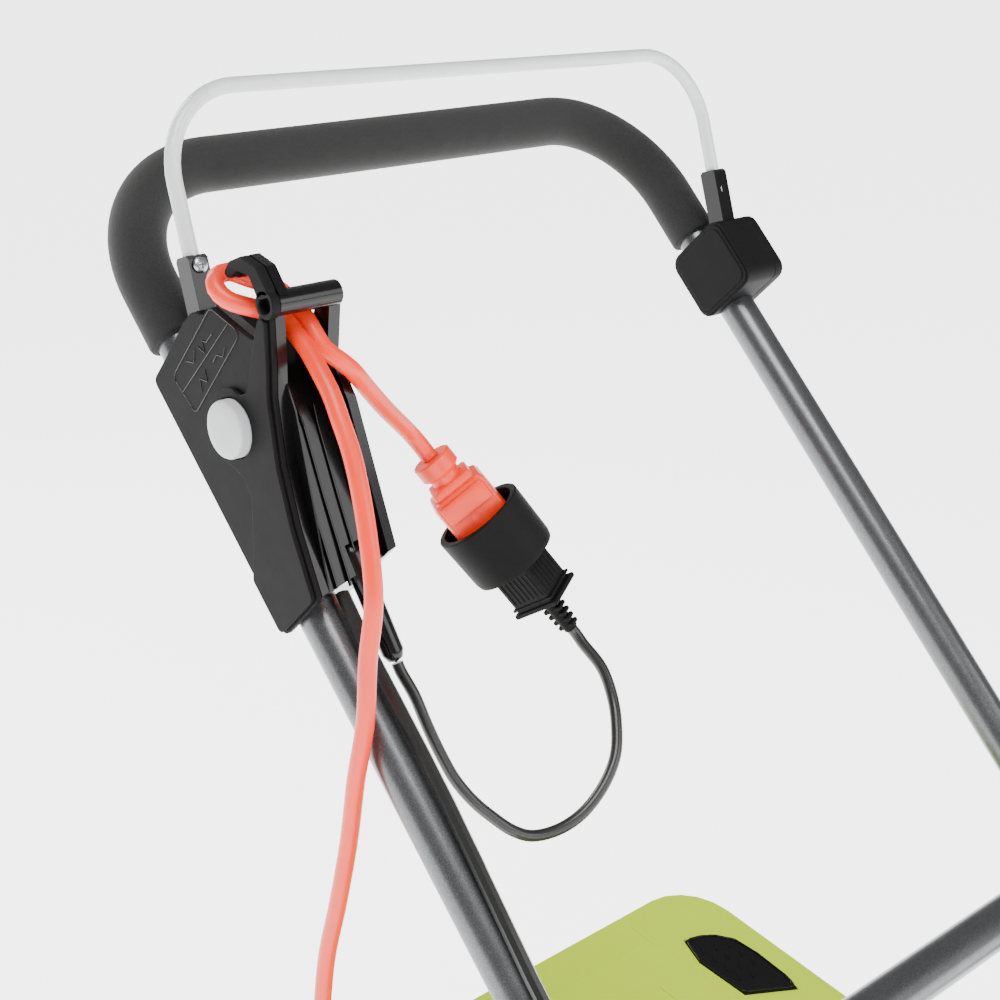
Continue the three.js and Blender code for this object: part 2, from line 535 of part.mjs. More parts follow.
function motorCable() {
  const points = [...cableRoute.map(([x, ...rest]) => onHandle([boxX + x, ...rest])),
    ...vector(inletRoute)];
  const path = new THREE.CatmullRomCurve3(points, false, 'centripetal');
  path.steps = Math.round(path.getLength() / (4 * cord.motor));
  place(mower, 'motor_cable', sweep(path, circle(cord.motor / 2, 8)), finish.rubber);
  const x = boxX + clip.x;
  const span = [-clip.s - clip.wide / 2, -clip.s + clip.wide / 2];
  place(handleFrame, 'cable_clip', cut(join(
    rodY(tubeR + fit + clip.wall, ...span, boxX, 0, 20),
    rodY(cord.motor / 2 + fit + clip.wall, ...span, x, lift, 14)),
  rodY(tubeR + fit, -clip.s - 20, -clip.s + 20, boxX, 0, 20),
  rodY(cord.motor / 2 + fit + 0.4, -clip.s - 20, -clip.s + 20, x, lift, 12)), finish.gloss);
}

// ---- deck, handle brackets and the rear flap ----
function deckPlan(half, rear, front, radius) {
  const left = Array.from({ length: 7 }, (_, i) => {
    const turn = -(i * Math.PI) / 12;
    return [half - radius + radius * Math.cos(turn), front + radius + radius * Math.sin(turn)];
  });
  return [...left, ...left.slice().reverse().map(([x, y]) => [-x, y]), [-half, rear], [half, rear]];
}
const bracketOuter = hoopX - hoopR - fit;
const bracket = { inner: bracketOuter - 3, outer: bracketOuter, bolts: [1035, 985], stud: 4 };
const pivots = [['rear', wheel.rearY, wheel.rear, -1], ['front', wheel.frontY, wheel.front, 1]];

function deckPieces() {
  const half = deckHalf;
  const tunnel = deck.tunnelWide / 2;
  const lift = (d) => [[-198 + d, 60], [deck.rear + (d ? 1 : 0), 60], [deck.rear + (d ? 1 : 0), 250 - d],
    [-112, 250 - d], [-150, 238 - d], [-198 + d, 196 - d]];
  const lugs = [-1, 1].map((side) => alongX([[-96, 249], [-78, 249], [-80, 264], [-92, 264]],
    ...mirrored(side, 151, tunnel)));
  const outer = join(alongZ(deckPlan(half, deck.rear, deck.front, deck.corner), deck.skirt, deck.top),
    alongX(lift(0), -tunnel, tunnel), rodZ(120, deck.top - 6, motor.padTop, 0, deck.centreY, 40), ...lugs);
  const inside = alongZ(deckPlan(half - deck.wall, deck.rear - 4, deck.front + deck.wall,
    deck.corner - deck.wall), deck.skirt - 1, deck.top - deck.wall);
  const holes = pivots.flatMap(([, y, z, way]) => [-1, 1].map((side) => rodX(6 + fit,
    ...mirrored(side, half - 10, half + 10), y + way * arm.reachY, z + arm.reachZ, 16)));
  place(mower, 'deck', cut(outer, inside, alongX(lift(4), -tunnel + 5, tunnel - 5),
    rodZ(16 + fit, deck.skirt, motor.padTop + 1, 0, deck.centreY, 24),
    rodX(flap.rod / 2 + fit, -170, 170, flap.y, flap.z, 14), ...holes), finish.matte);
  for (const side of [-1, 1]) {
    const hand = side < 0 ? 'right' : 'left';
    const plate = alongX([[-250, 150.3], [-140, 150.3], [-145, 290], [-175, 290], [-225, 235]],
      ...mirrored(side, bracket.inner, bracket.outer));
    const foot = alongZ(roundedBox(Math.min(side * (bracket.inner - 16), side * (bracket.inner + 1)), -250,
      Math.max(side * (bracket.inner - 16), side * (bracket.inner + 1)), -205, 4, 2), 150.3, 153.3);
    const world = bracket.bolts.map((s) => onHandle([0, s, 0]));
    const studs = world.map((p) => rodX(bracket.stud, ...mirrored(side, bracket.inner + 1, hoopX + hoopR + 4),
      p.y, p.z, 12));
    place(mower, `handle_bracket_${hand}`, join(plate, foot, ...studs), finish.steel);
    const hoopMesh = handleFrame.getObjectByName('lower_handle');
    hoopMesh.geometry = cut(hoopMesh.geometry, ...bracket.bolts.map((s) => rodX(bracket.stud + fit,
      ...mirrored(side, hoopX - hoopR - 4, hoopX + hoopR + 5), -s, 0, 12)));
  }
  const turn = THREE.MathUtils.degToRad(flap.rest);
  const leaf = alongX([[0, -flap.thick / 2], [flap.long, -flap.thick / 2],
    [flap.long, flap.thick / 2], [0, flap.thick / 2]], -flap.wide / 2, flap.wide / 2).rotateX(turn)
    .translate(0, flap.y, flap.z);
  place(mower, 'rear_flap', cut(join(leaf, rodX(5.4, -flap.wide / 2, flap.wide / 2, flap.y, flap.z, 16)),
    rodX(flap.rod / 2 + fit, -170, 170, flap.y, flap.z, 14)), finish.matte);
  place(mower, 'flap_rod', rodX(flap.rod / 2, -158, 158, flap.y, flap.z, 12), finish.zinc);
}

// ---- motor and blade ----
const at = (geometry) => geometry.translate(0, deck.centreY, 0);

function motorPieces() {
  const { cover, coverTop, padTop, stator, rotor, shaft } = motor;
  const base = padTop + fit;
  const dome = turned([[cover + 3, base], [cover + 6, base], [cover + 6, base + 26], [cover, 226],
    [cover - 16, 268], [cover - 50, coverTop - 5], [0, coverTop], [0, coverTop - 3],
    [cover - 51, coverTop - 8], [cover - 18.5, 266], [cover - 3, 225], [cover + 3, base + 25],
    [cover + 3, base]], 28);
  const inlet = new THREE.CatmullRomCurve3(vector(inletRoute), false, 'centripetal');
  inlet.steps = 8;
  place(mower, 'motor_cover', cut(at(dome), sweep(inlet, circle(cord.motor / 2 + fit + 0.5, 10))),
    finish.lime);
  const can = turned([[stator + fit, base], [stator + 4, base], [stator + 4, 253], [0, 253],
    [0, 238], [15, 238], [18, 249], [stator + fit, 249], [stator + fit, base]], 24);
  place(mower, 'motor_frame', cut(at(can), rodZ(11 + fit, 230, 249, 0, deck.centreY, 20),
    rodZ(shaft / 2 + 1, 230, 260, 0, deck.centreY, 16)), finish.steel);
  place(mower, 'motor_stator', at(alongZ(circle(stator - 0.7, 24), 172, 226, [circle(rotor + 1.6, 20)])),
    finish.copper);
  place(mower, 'motor_armature', cut(at(turned([[0, 65.3], [19, 65.3], [19, 71], [9, 73],
    [9, 142], [shaft / 2, 142], [shaft / 2, 176], [rotor, 176], [rotor, 222], [12, 222], [12, 234],
    [shaft / 2, 234], [shaft / 2, 272], [0, 272]], 18)),
  rodZ(4 + fit, 60, 90, 0, deck.centreY, 14)), finish.steel);
  place(mower, 'lower_bearing', at(alongZ(circle(16, 24), 146.4, 157.6,
    [circle(shaft / 2 + fit, 16)])), finish.zinc);
  place(mower, 'upper_bearing', at(alongZ(circle(11, 20), 238.4, 248.4,
    [circle(shaft / 2 + fit, 16)])), finish.zinc);
  const vanes = Array.from({ length: 7 }, (_, i) => alongX([[-0.8, 257], [0.8, 257], [0.8, 270],
    [-0.8, 270]], 13, 44).rotateZ((i * 2 * Math.PI) / 7));
  place(mower, 'cooling_fan', at(cut(join(rodZ(46, 256, 258, 0, 0, 28), rodZ(14, 256, 270, 0, 0, 20),
    ...vanes), rodZ(shaft / 2 + fit, 250, 280, 0, 0, 16))), finish.gloss);
  const half = blade.length / 2;
  const low = blade.height;
  const bar2 = alongX([[-24, low], [24, low], [24, low + blade.thick], [-21, low + blade.thick]],
    -half, half);
  const tips = [0, Math.PI].map((turn) => alongX([[12, low + 1], [24, low + 1], [29, low + 10],
    [27.5, low + 10.5], [22, low + blade.thick]], half - 60, half).rotateZ(turn));
  place(mower, 'blade', at(cut(join(bar2, ...tips), rodZ(4 + fit, low - 5, low + 8, 0, 0, 14))),
    finish.steel);
  place(mower, 'blade_bolt', at(turned([[0, low - 8], [8, low - 8], [9, low - 7], [9, low - 1.7],
    [14, low - 1.7], [14, low - fit], [4, low - fit], [4, 88], [0, 88]], 12)), finish.zinc);
}

// ---- wheels on their height arms ----
function wheelSets() {
  for (const [end, y, radius, way] of pivots) {
    for (const side of [-1, 1]) {
      const hand = side < 0 ? 'right' : 'left';
      const name = (part) => `${part}_${end}_${hand}`;
      const pivot = [y + way * arm.reachY, radius + arm.reachZ];
      const plate = deckHalf + arm.gap;
      const long = Math.hypot(arm.reachY, arm.reachZ);
      const across = [(-arm.reachZ / long) * 12, (way * arm.reachY / long) * 12];
      const link = [[y + across[0], radius + across[1]], [y - across[0], radius - across[1]],
        [pivot[0] - across[0], pivot[1] - across[1]], [pivot[0] + across[0], pivot[1] + across[1]]];
      const knob = [pivot[0] + way * 16, radius + 88 + (end === 'rear' ? 6 : 16)];
      const stick = [[pivot[0] - 6, pivot[1]], [pivot[0] + 6, pivot[1]], [knob[0] + 5, knob[1]],
        [knob[0] - 5, knob[1]]];
      const span = mirrored(side, plate, plate + arm.thick);
      const flip = (points) => (THREE.ShapeUtils.isClockWise(
        points.map(([a, b]) => new THREE.Vector2(a, b))) ? points.slice().reverse() : points);
      place(mower, name('height_arm'), join(alongX(flip(link), ...span),
        alongX(flip(stick), ...span), rodX(12, ...span, y, radius, 12),
        rodX(12, ...span, ...pivot, 12), rodX(8, ...span, ...knob, 10),
        rodX(6, ...mirrored(side, plate - 8, plate + 2), ...pivot, 12),
        rodX(9, ...mirrored(side, plate + 2, wheelInner - fit), y, radius, 12),
        rodX(wheel.axle / 2, ...mirrored(side, plate + 2, wheelInner + wheel.wide - 4), y, radius, 12),
      ), finish.steel);
      const w = wheel.wide;
      const bore = wheel.axle / 2 + fit;
      const profile = [[bore, 0], [15, 0], [15, 8], [radius - 22, 9], [radius - 20, 1],
        [radius - 3, 1], [radius, 5], [radius, w - 5], [radius - 3, w - 1], [radius - 20, w - 1],
        [radius - 22, w - 7], [15, w - 5], [15, w], [bore, w], [bore, 0]];
      place(mower, name('wheel'), turnedX(profile, 24)
        .rotateY(side < 0 ? Math.PI : 0).translate(side * wheelInner, y, radius), finish.wheel);
      place(mower, name('hubcap'), turnedX([[0, -4], [5.4, -4], [5.4, fit], [25, fit], [25, 2.4],
        [18, 4.2], [0, 4.2]], 16).rotateY(side < 0 ? Math.PI : 0)
        .translate(side * (wheelInner + w), y, radius), finish.grey);
    }
  }
}

// ---- grass box: black tub, lime lid and two black vents ----
const lidTop = (y) => bin.topZ + (y - 399) * binRise;
const ventOutline = [[134, 340], [136, 298], [174, 279], [177, 292], [178, 320], [175.5, 341],
  [166, 353], [156, 359], [142.5, 363]];

function offset(points, by) {
  return points.map((point, i) => {
    const a = points[(i + points.length - 1) % points.length];
    const b = points[(i + 1) % points.length];
    const into = new THREE.Vector2(point[0] - a[0], point[1] - a[1]).normalize();
    const out = new THREE.Vector2(b[0] - point[0], b[1] - point[1]).normalize();
    const normal = new THREE.Vector2(into.y + out.y, -into.x - out.x).normalize();
    const reach = by / Math.max(0.4, normal.dot(new THREE.Vector2(into.y, -into.x)));
    return [point[0] + normal.x * reach, point[1] + normal.y * reach];
  });
}

function binPlan(half, front, rear, radius) {
  const corner = Array.from({ length: 6 }, (_, i) => {
    const turn = (i * Math.PI) / 10;
    return [half - radius + radius * Math.cos(turn), rear - radius + radius * Math.sin(turn)];
  });
  return [[half, front], ...corner, ...corner.slice().reverse().map(([x, y]) => [-x, y]), [-half, front]];
}

function binSolid(profile, inset) {
  const half = binHalf - inset;
  return common(alongX(profile, -half, half),
    alongZ(binPlan(half, -90, bin.rear - inset, bin.corner - inset), 60, 460));
}

function grassBox() {
  const w = bin.wall;
  const split = [[409, 372], [45, 309], [-60, 238], [-74, 234]];
  const roof = [[-74, 258], [-60, 262], [45, lidTop(45)], [412, lidTop(412)]];
  const tray = [[-74, 104], [-60, 100], [370, 100], [395, 140]];
  const raise = (points, by) => points.map(([y, z]) => [y, z + by]);
  const lidOuter = binSolid([[412, 372.8], ...raise(split.slice(1), 0.2), ...roof].reverse(), 0);
  const lidInner = binSolid([[412, 366], [45, 300], [-60, 229], [-74 + w, 225],
    ...raise([[-74 + w, 258.6], ...roof.slice(1)], -w)].reverse(), w);
  const vents = [-1, 1].map((side) => {
    const shape = (by) => {
      const points = offset(ventOutline, by).map(([x, y]) => [x * side, y]);
      return side < 0 ? points.reverse() : points;
    };
    return { side, piece: shape(0), room: shape(fit + 0.1) };
  });
  place(mower, 'grass_box_lid', cut(lidOuter, lidInner,
    ...vents.map(({ room }) => alongZ(room, 340, 420))), finish.lime);
  const slab = alongX([[250, lidTop(250) - 2.4], [399, lidTop(399) - 2.4], [399, lidTop(399) + 1],
    [250, lidTop(250) + 1]], -binHalf, binHalf);
  for (const { side, piece } of vents) {
    place(mower, `lid_vent_${side < 0 ? 'right' : 'left'}`, common(slab, alongZ(piece, 300, 450)),
      finish.matte);
  }
  const tubOuter = binSolid([...tray, [406, 371.2], ...raise(split.slice(1), -0.1)], 0);
  const tubInner = binSolid([[-74 + w, 104 + w], [-60, 100 + w], [368, 100 + w], [395 - w, 141],
    [406 - w, 380], [45, 320], [-60, 250], [-74 + w, 245]], w);
  const mouth = alongY(roundedBox(-bin.mouthWide / 2, 110, bin.mouthWide / 2, 224, 8, 2), -90, -60);
  place(mower, 'grass_box_tub', cut(tubOuter, tubInner, mouth), finish.matte);
}

plugs();
cords();
motorCable();
deckPieces();
motorPieces();
wheelSets();
grassBox();

export default mower;
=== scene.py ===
import json
import math
import bpy
import bmesh
from mathutils import Matrix, Vector


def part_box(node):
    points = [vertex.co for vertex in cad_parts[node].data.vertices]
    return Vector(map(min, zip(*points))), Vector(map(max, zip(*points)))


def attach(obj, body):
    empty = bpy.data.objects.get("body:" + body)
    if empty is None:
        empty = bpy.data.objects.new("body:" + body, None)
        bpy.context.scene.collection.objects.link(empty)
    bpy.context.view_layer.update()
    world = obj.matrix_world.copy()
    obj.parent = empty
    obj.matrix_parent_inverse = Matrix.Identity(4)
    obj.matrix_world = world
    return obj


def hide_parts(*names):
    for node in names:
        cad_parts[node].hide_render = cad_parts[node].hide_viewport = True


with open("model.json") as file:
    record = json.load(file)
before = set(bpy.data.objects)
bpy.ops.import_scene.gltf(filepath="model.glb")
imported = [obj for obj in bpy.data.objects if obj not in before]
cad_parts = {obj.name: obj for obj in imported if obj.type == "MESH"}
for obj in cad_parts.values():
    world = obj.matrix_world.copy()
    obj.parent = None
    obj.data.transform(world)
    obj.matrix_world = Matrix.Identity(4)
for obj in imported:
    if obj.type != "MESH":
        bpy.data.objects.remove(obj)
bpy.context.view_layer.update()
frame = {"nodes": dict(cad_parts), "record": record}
nodes = frame["nodes"]
bodies = frame["record"]["behaviour"]["bodies"]
bodyOf = {node: body for body, names in bodies.items() for node in names}
slotOf = {part["node"]: part["material_slot"] for part in frame["record"]["subparts"]}
mm = 0.001

camera = bpy.data.objects.new("camera", bpy.data.cameras.new("camera"))
bpy.context.scene.collection.objects.link(camera)
bpy.context.scene.camera = camera
camera.data.lens = 63.72  # fitted to the edges of the tubes in the photo
camera.data.sensor_width = 36
camera.data.clip_end = 60
cameraSpot = (-0.7459, -0.3824, 1.1489)
right, up = Vector((0.730, -0.683, 0)).normalized(), Vector((0.227, 0.243, 0.943)).normalized()
back = right.cross(up).normalized()
up = back.cross(right)
facing = Matrix((right, up, back)).transposed().to_4x4()
camera.matrix_world = Matrix.Translation(cameraSpot) @ facing

# the handle's own frame: x across, y up along the tubes, z forwards out of their plane
gripHeight = 0.985
tubeX = 0.219
tilt = math.radians(46.2)
bailLean = math.radians(26.85)
toHandle = Matrix.Translation((0, 0.522, gripHeight)) @ Matrix.Rotation(tilt, 4, "X")
toBail = toHandle @ Matrix.Translation((0, -0.130, 0.024)) @ Matrix.Rotation(bailLean, 4, "X")
boxX = -tubeX


def onBox(x, s, n):
    return toHandle @ Vector((boxX + x * mm, -s * mm, -n * mm))


def linear(code):
    channels = [int(code[i:i + 2], 16) / 255 for i in (1, 3, 5)]
    return [c / 12.92 if c <= 0.04045 else ((c + 0.055) / 1.055) ** 2.4 for c in channels] + [1]


def addNode(tree, kind, sockets=None, **settings):
    node = tree.nodes.new(kind)
    for key, value in settings.items():
        setattr(node, key, value)
    for key, value in (sockets or {}).items():
        if isinstance(value, bpy.types.NodeSocket):
            tree.links.new(value, node.inputs[key])
        else:
            node.inputs[key].default_value = value
    return node


def between(tree, value, low, high):
    sockets = {"Value": value, "To Min": low, "To Max": high}
    return addNode(tree, "ShaderNodeMapRange", sockets).outputs[0]


def noise(tree, place, scale, detail, **more):
    sockets = {"Vector": place, "Scale": scale, "Detail": detail, **more}
    return addNode(tree, "ShaderNodeTexNoise", sockets).outputs["Fac"]


def combined(tree, first, second, operation):
    return addNode(tree, "ShaderNodeMath", {0: first, 1: second}, operation=operation).outputs[0]


def blendColour(tree, factor, first, second):
    mix = addNode(tree, "ShaderNodeMix", data_type="RGBA")
    for socket, value in ((mix.inputs[0], factor), (mix.inputs[6], first), (mix.inputs[7], second)):
        if isinstance(value, bpy.types.NodeSocket):
            tree.links.new(value, socket)
        else:
            socket.default_value = value
    return mix.outputs[2]


def material(name, spec):
    made = bpy.data.materials.new(name)
    made.use_nodes = True
    tree = made.node_tree
    shader = tree.nodes["Principled BSDF"]
    place = addNode(tree, "ShaderNodeTexCoord").outputs["Object"]
    if "stretch" in spec:
        sockets = {"Vector": place, "Scale": spec["stretch"]}
        place = addNode(tree, "ShaderNodeMapping", sockets).outputs[0]
    cloud = noise(tree, place, 1 / spec.get("patch", 0.02), 5, Roughness=0.6)
    tint = between(tree, cloud, -0.4, 1.4)
    colour = blendColour(tree, tint, linear(spec["colour"]), linear(spec["shade"]))
    fine = noise(tree, place, 1 / spec["grain"], 3, Roughness=0.6)
    height = fine
    if spec.get("kind") == "cells":
        cell = addNode(tree, "ShaderNodeTexVoronoi", {"Vector": place, "Scale": 1 / spec["cell"]})
        height = combined(tree, cell.outputs["Distance"], fine, "ADD")
        # painted shade: the pits of the cells are painted towards the darker shade colour
        painted_pit_shade = between(tree, cell.outputs["Distance"], 0.55, 1.35)
        colour = blendColour(tree, between(tree, painted_pit_shade, 0, 0.5), linear(spec["shade"]), colour)
    # painted glint: random flake cells are painted towards a lighter colour, whatever the light
    if spec.get("kind") == "flake":
        flake = addNode(tree, "ShaderNodeTexVoronoi", {"Vector": place, "Scale": 1 / spec["cell"]})
        painted_glint = addNode(tree, "ShaderNodeSeparateColor", {"Color": flake.outputs["Color"]}).outputs[0]
        painted_glint_amount = between(tree, painted_glint, -0.7, 0.65)
        colour = blendColour(tree, painted_glint_amount, colour, linear(spec["painted_glint"]))
    if "dust" in spec:
        geometry = addNode(tree, "ShaderNodeNewGeometry")
        normal = addNode(tree, "ShaderNodeSeparateXYZ", {"Vector": geometry.outputs["Normal"]})
        upward = between(tree, normal.outputs["Z"], 0, 1)
        settled = combined(tree, upward, noise(tree, place, 900, 2), "MULTIPLY")
        amount = combined(tree, settled, spec["dust"], "MULTIPLY")
        colour = blendColour(tree, amount, colour, linear("#a9a69c"))
    tree.links.new(colour, shader.inputs["Base Color"])
    wear = noise(tree, place, 60, 6, Roughness=0.7)
    low, high = spec["roughness"]
    tree.links.new(between(tree, wear, low, high), shader.inputs["Roughness"])
    bump = addNode(tree, "ShaderNodeBump", {"Height": height, "Strength": spec.get("strength", 0.3),
                                            "Distance": spec["depth"]})
    tree.links.new(bump.outputs[0], shader.inputs["Normal"])
    shader.inputs["Metallic"].default_value = spec.get("metal", 0)
    shader.inputs["Specular IOR Level"].default_value = spec.get("specular", 0.5)
    shader.inputs["Coat Weight"].default_value = spec.get("coat", 0)
    shader.inputs["Coat Roughness"].default_value = spec.get("coatRoughness", 0.08)
    shader.inputs["Sheen Weight"].default_value = spec.get("sheen", 0)
    return made


looks = {
    # dark grey powder coat with fine metal flakes that carry a painted glint, a lighter colour
    # painted on along the tube
    "tube": {"colour": "#5c5d5f", "shade": "#525355", "kind": "flake", "cell": 0.00035,
             "painted_glint": "#7e8082", "grain": 0.0005, "depth": 0.00002, "strength": 0.2,
             "roughness": (0.27, 0.37), "metal": 0.8, "coat": 0.25, "coatRoughness": 0.2,
             "dust": 0.05},
    # closed-cell foam, soft and pitted, its pits darkened with painted shade
    "foam": {"colour": "#131314", "shade": "#0e0e0f", "kind": "cells", "cell": 0.0009,
             "grain": 0.0012, "depth": 0.0002, "strength": 0.45, "roughness": (0.86, 0.98),
             "sheen": 0.08, "dust": 0.03},
    # white enamel on the bail rod, with a faint orange peel
    "bail": {"colour": "#d6d8d9", "shade": "#cccecf", "grain": 0.0016, "depth": 0.00002,
             "roughness": (0.26, 0.38), "coat": 0.4},
    # spark-eroded moulding texture, dry to the eye
    "matte_black": {"colour": "#0f0f10", "shade": "#0b0b0c", "grain": 0.0004, "depth": 0.00006,
                    "strength": 0.5, "roughness": (0.52, 0.64), "specular": 0.1, "dust": 0.02},
    # polished moulding that mirrors the softboxes
    "gloss_black": {"colour": "#070708", "shade": "#040405", "grain": 0.004, "depth": 0.00001,
                    "strength": 0.2, "roughness": (0.16, 0.28), "specular": 0.3, "coat": 0.1,
                    "dust": 0.02},
    # pale grey button with a satin skin
    "button": {"colour": "#c3c5c7", "shade": "#b9bbbd", "grain": 0.0006, "depth": 0.00002,
               "roughness": (0.38, 0.5), "coat": 0.1},
    # flexible PVC with a soft waxy shine
    "black_cable": {"colour": "#0b0b0c", "shade": "#070707", "grain": 0.0008, "depth": 0.00003,
                    "roughness": (0.3, 0.44), "coat": 0.15, "dust": 0.05},
    # orange PVC of the extension cord and its connectors
    "orange": {"colour": "#fa3600", "shade": "#ee2e00", "grain": 0.0009, "depth": 0.00004,
               "roughness": (0.36, 0.5), "coat": 0.12},
    # lime moulding, glossy, with faint flow marks
    "lime": {"colour": "#cdee00", "shade": "#c2e400", "grain": 0.003, "depth": 0.00002, "patch": 0.08,
             "roughness": (0.26, 0.4), "coat": 0.25, "dust": 0.05},
    # zinc plate, slightly cloudy
    "zinc": {"colour": "#c2c5c9", "shade": "#9fa3a8", "grain": 0.0005, "depth": 0.00002,
             "roughness": (0.22, 0.42), "metal": 1, "patch": 0.004},
    # bare steel, drawn one way
    "steel": {"colour": "#6a6c70", "shade": "#55575b", "grain": 0.0004, "depth": 0.00004,
              "patch": 0.006, "stretch": (0.15, 1, 1), "roughness": (0.34, 0.55), "metal": 0.9},
    # tough polypropylene, satin with scuffs
    "wheel": {"colour": "#121314", "shade": "#1b1c1d", "grain": 0.0007, "depth": 0.00007,
              "patch": 0.012, "strength": 0.45, "roughness": (0.5, 0.75), "dust": 0.14},
    # plain grey moulding of the hubcaps
    "grey": {"colour": "#a3a5a7", "shade": "#97999b", "grain": 0.0006, "depth": 0.00003,
             "roughness": (0.42, 0.55)},
    # varnished copper wire seen end on, the pits of its cells darkened with painted shade
    "copper": {"colour": "#b4623a", "shade": "#7f3d22", "kind": "cells", "cell": 0.0011,
               "grain": 0.0006, "depth": 0.0003, "strength": 0.7, "roughness": (0.25, 0.45),
               "metal": 0.85, "patch": 0.003},
}
materials = {name: material(name, spec) for name, spec in looks.items()}


# making pieces
def smooth(obj, angle=36):
    mesh = obj.data
    mesh.shade_smooth()
    mesh.set_sharp_from_angle(angle=math.radians(angle))
    even = obj.modifiers.new("even", "WEIGHTED_NORMAL")
    even.keep_sharp = True


def piece(name, mesh, look, body, stands=()):
    obj = bpy.data.objects.new(name, mesh)
    bpy.context.scene.collection.objects.link(obj)
    mesh.materials.clear()
    mesh.materials.append(materials[look])
    smooth(obj)
    if stands:
        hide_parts(*stands)
    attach(obj, body)
    return obj


def meshOf(name, bm):
    bmesh.ops.recalc_face_normals(bm, faces=bm.faces)
    mesh = bpy.data.meshes.new(name)
    bm.to_mesh(mesh)
    bm.free()
    return mesh


def tubeMesh(name, points, radius, sides, hollow=0):
    rings = []
    bm = bmesh.new()
    tangents = [(points[min(i + 1, len(points) - 1)] - points[max(i - 1, 0)]).normalized()
                for i in range(len(points))]
    side = tangents[0].orthogonal().normalized()
    for i, (point, tangent) in enumerate(zip(points, tangents)):
        if i:
            side = tangents[i - 1].rotation_difference(tangent) @ side
        side = (side - tangent * side.dot(tangent)).normalized()
        other = tangent.cross(side)
        rings.append([[bm.verts.new(point + (side * math.cos(a) + other * math.sin(a)) * r)
                       for a in (2 * math.pi * k / sides for k in range(sides))]
                      for r in ([radius, hollow] if hollow else [radius])])
    for a, b in zip(rings, rings[1:]):
        for shell in range(len(a)):
            for k in range(sides):
                m = (k + 1) % sides
                face = (a[shell][k], a[shell][m], b[shell][m], b[shell][k])
                bm.faces.new(face if shell == 0 else face[::-1])
    for ring, turn in ((rings[0], 1), (rings[-1], -1)):
        if hollow:
            for k in range(sides):
                m = (k + 1) % sides
                bm.faces.new((ring[0][k], ring[1][k], ring[1][m], ring[0][m])[::turn])
        else:
            bm.faces.new(ring[0][::-turn])
    return meshOf(name, bm)


def bent(corners, radius, steps=14):
    corners = [Vector(corner) for corner in corners]
    path = [corners[0]]
    for before, corner, after in zip(corners, corners[1:], corners[2:]):
        a, b = before - corner, after - corner
        half = a.angle(b) / 2
        reach = radius / math.tan(half)
        start = corner + a.normalized() * reach
        end = corner + b.normalized() * reach
        centre = corner + (a.normalized() + b.normalized()).normalized() * radius / math.sin(half)
        for k in range(steps + 1):
            arm = (start - centre).normalized().slerp((end - centre).normalized(), k / steps)
            path.append(centre + arm * radius)
    return path + [corners[-1]]


def curved(points, gap=0.003):
    padded = [points[0] * 2 - points[1]] + points + [points[-1] * 2 - points[-2]]
    path = []
    for four in zip(padded, padded[1:], padded[2:], padded[3:]):
        knots = [0]
        for a, b in zip(four, four[1:]):
            knots.append(knots[-1] + max((b - a).length ** 0.5, 1e-6))
        count = max(2, round((four[2] - four[1]).length / gap))
        for k in range(count):
            t = knots[1] + (knots[2] - knots[1]) * k / count
            level = list(four)
            for spans in (((0, 1), (1, 2), (2, 3)), ((0, 2), (1, 3)), ((1, 2),)):
                level = [(level[j] * (knots[b] - t) + level[j + 1] * (t - knots[a]))
                         / (knots[b] - knots[a]) for j, (a, b) in enumerate(spans)]
            path.append(level[0])
    return path + [points[-1]]


def refined(node, width, sharp=24, least=0.0, segments=2):
    bm = bmesh.new()
    bm.from_mesh(nodes[node].data)
    bmesh.ops.remove_doubles(bm, verts=bm.verts, dist=0.00002)
    bmesh.ops.dissolve_limit(bm, angle_limit=math.radians(0.6), verts=bm.verts, edges=bm.edges)
    edges = [e for e in bm.edges if len(e.link_faces) == 2 and e.calc_length() > least
             and abs(e.calc_face_angle(0)) > math.radians(sharp)]
    if width and edges:
        bmesh.ops.bevel(bm, geom=edges, offset=width, offset_type="OFFSET", segments=segments,
                        profile=0.5, affect="EDGES", material=-1, clamp_overlap=True)
    mesh = meshOf(node, bm)
    return piece(node + "_skin", mesh, slotOf[node], bodyOf[node], [node])


def roundOff(points, radius, steps=5):
    smoothed = []
    for i, corner in enumerate(points):
        corner = Vector(corner)
        a, b = Vector(points[i - 1]) - corner, Vector(points[(i + 1) % len(points)]) - corner
        half = a.angle(b) / 2
        reach = min(radius / math.tan(half), a.length * 0.48, b.length * 0.48)
        start, end = corner + a.normalized() * reach, corner + b.normalized() * reach
        for k in range(steps + 1):
            t = k / steps
            smoothed.append(start * (1 - t) ** 2 + corner * 2 * t * (1 - t) + end * t ** 2)
    return [tuple(p) for p in smoothed]


def ringOf(radius, a, b, sides=48):
    angles = [2 * math.pi * k / sides for k in range(sides)]
    return [(a + radius * math.cos(angle), b + radius * math.sin(angle)) for angle in angles]


def plate(name, loops, low, high, soft, place):
    curve = bpy.data.curves.new(name, "CURVE")
    curve.dimensions = "2D"
    curve.fill_mode = "BOTH"
    curve.bevel_depth = soft * mm
    curve.bevel_resolution = 2
    curve.extrude = max((high - low) / 2 - soft, 0.01) * mm
    curve.offset = -soft * mm
    for loop in loops:
        spline = curve.splines.new("POLY")
        spline.points.add(len(loop) - 1)
        for point, (a, b) in zip(spline.points, loop):
            point.co = (a * mm, b * mm, 0, 1)
        spline.use_cyclic_u = True
    temporary = bpy.data.objects.new(name, curve)
    bpy.context.scene.collection.objects.link(temporary)
    evaluated = temporary.evaluated_get(bpy.context.evaluated_depsgraph_get())
    bm = bmesh.new()
    bm.from_mesh(evaluated.to_mesh())
    evaluated.to_mesh_clear()
    bpy.data.objects.remove(temporary)
    bmesh.ops.remove_doubles(bm, verts=bm.verts, dist=0.00001)
    bm.transform(place @ Matrix.Translation((0, 0, (low + high) / 2 * mm)))
    return bm


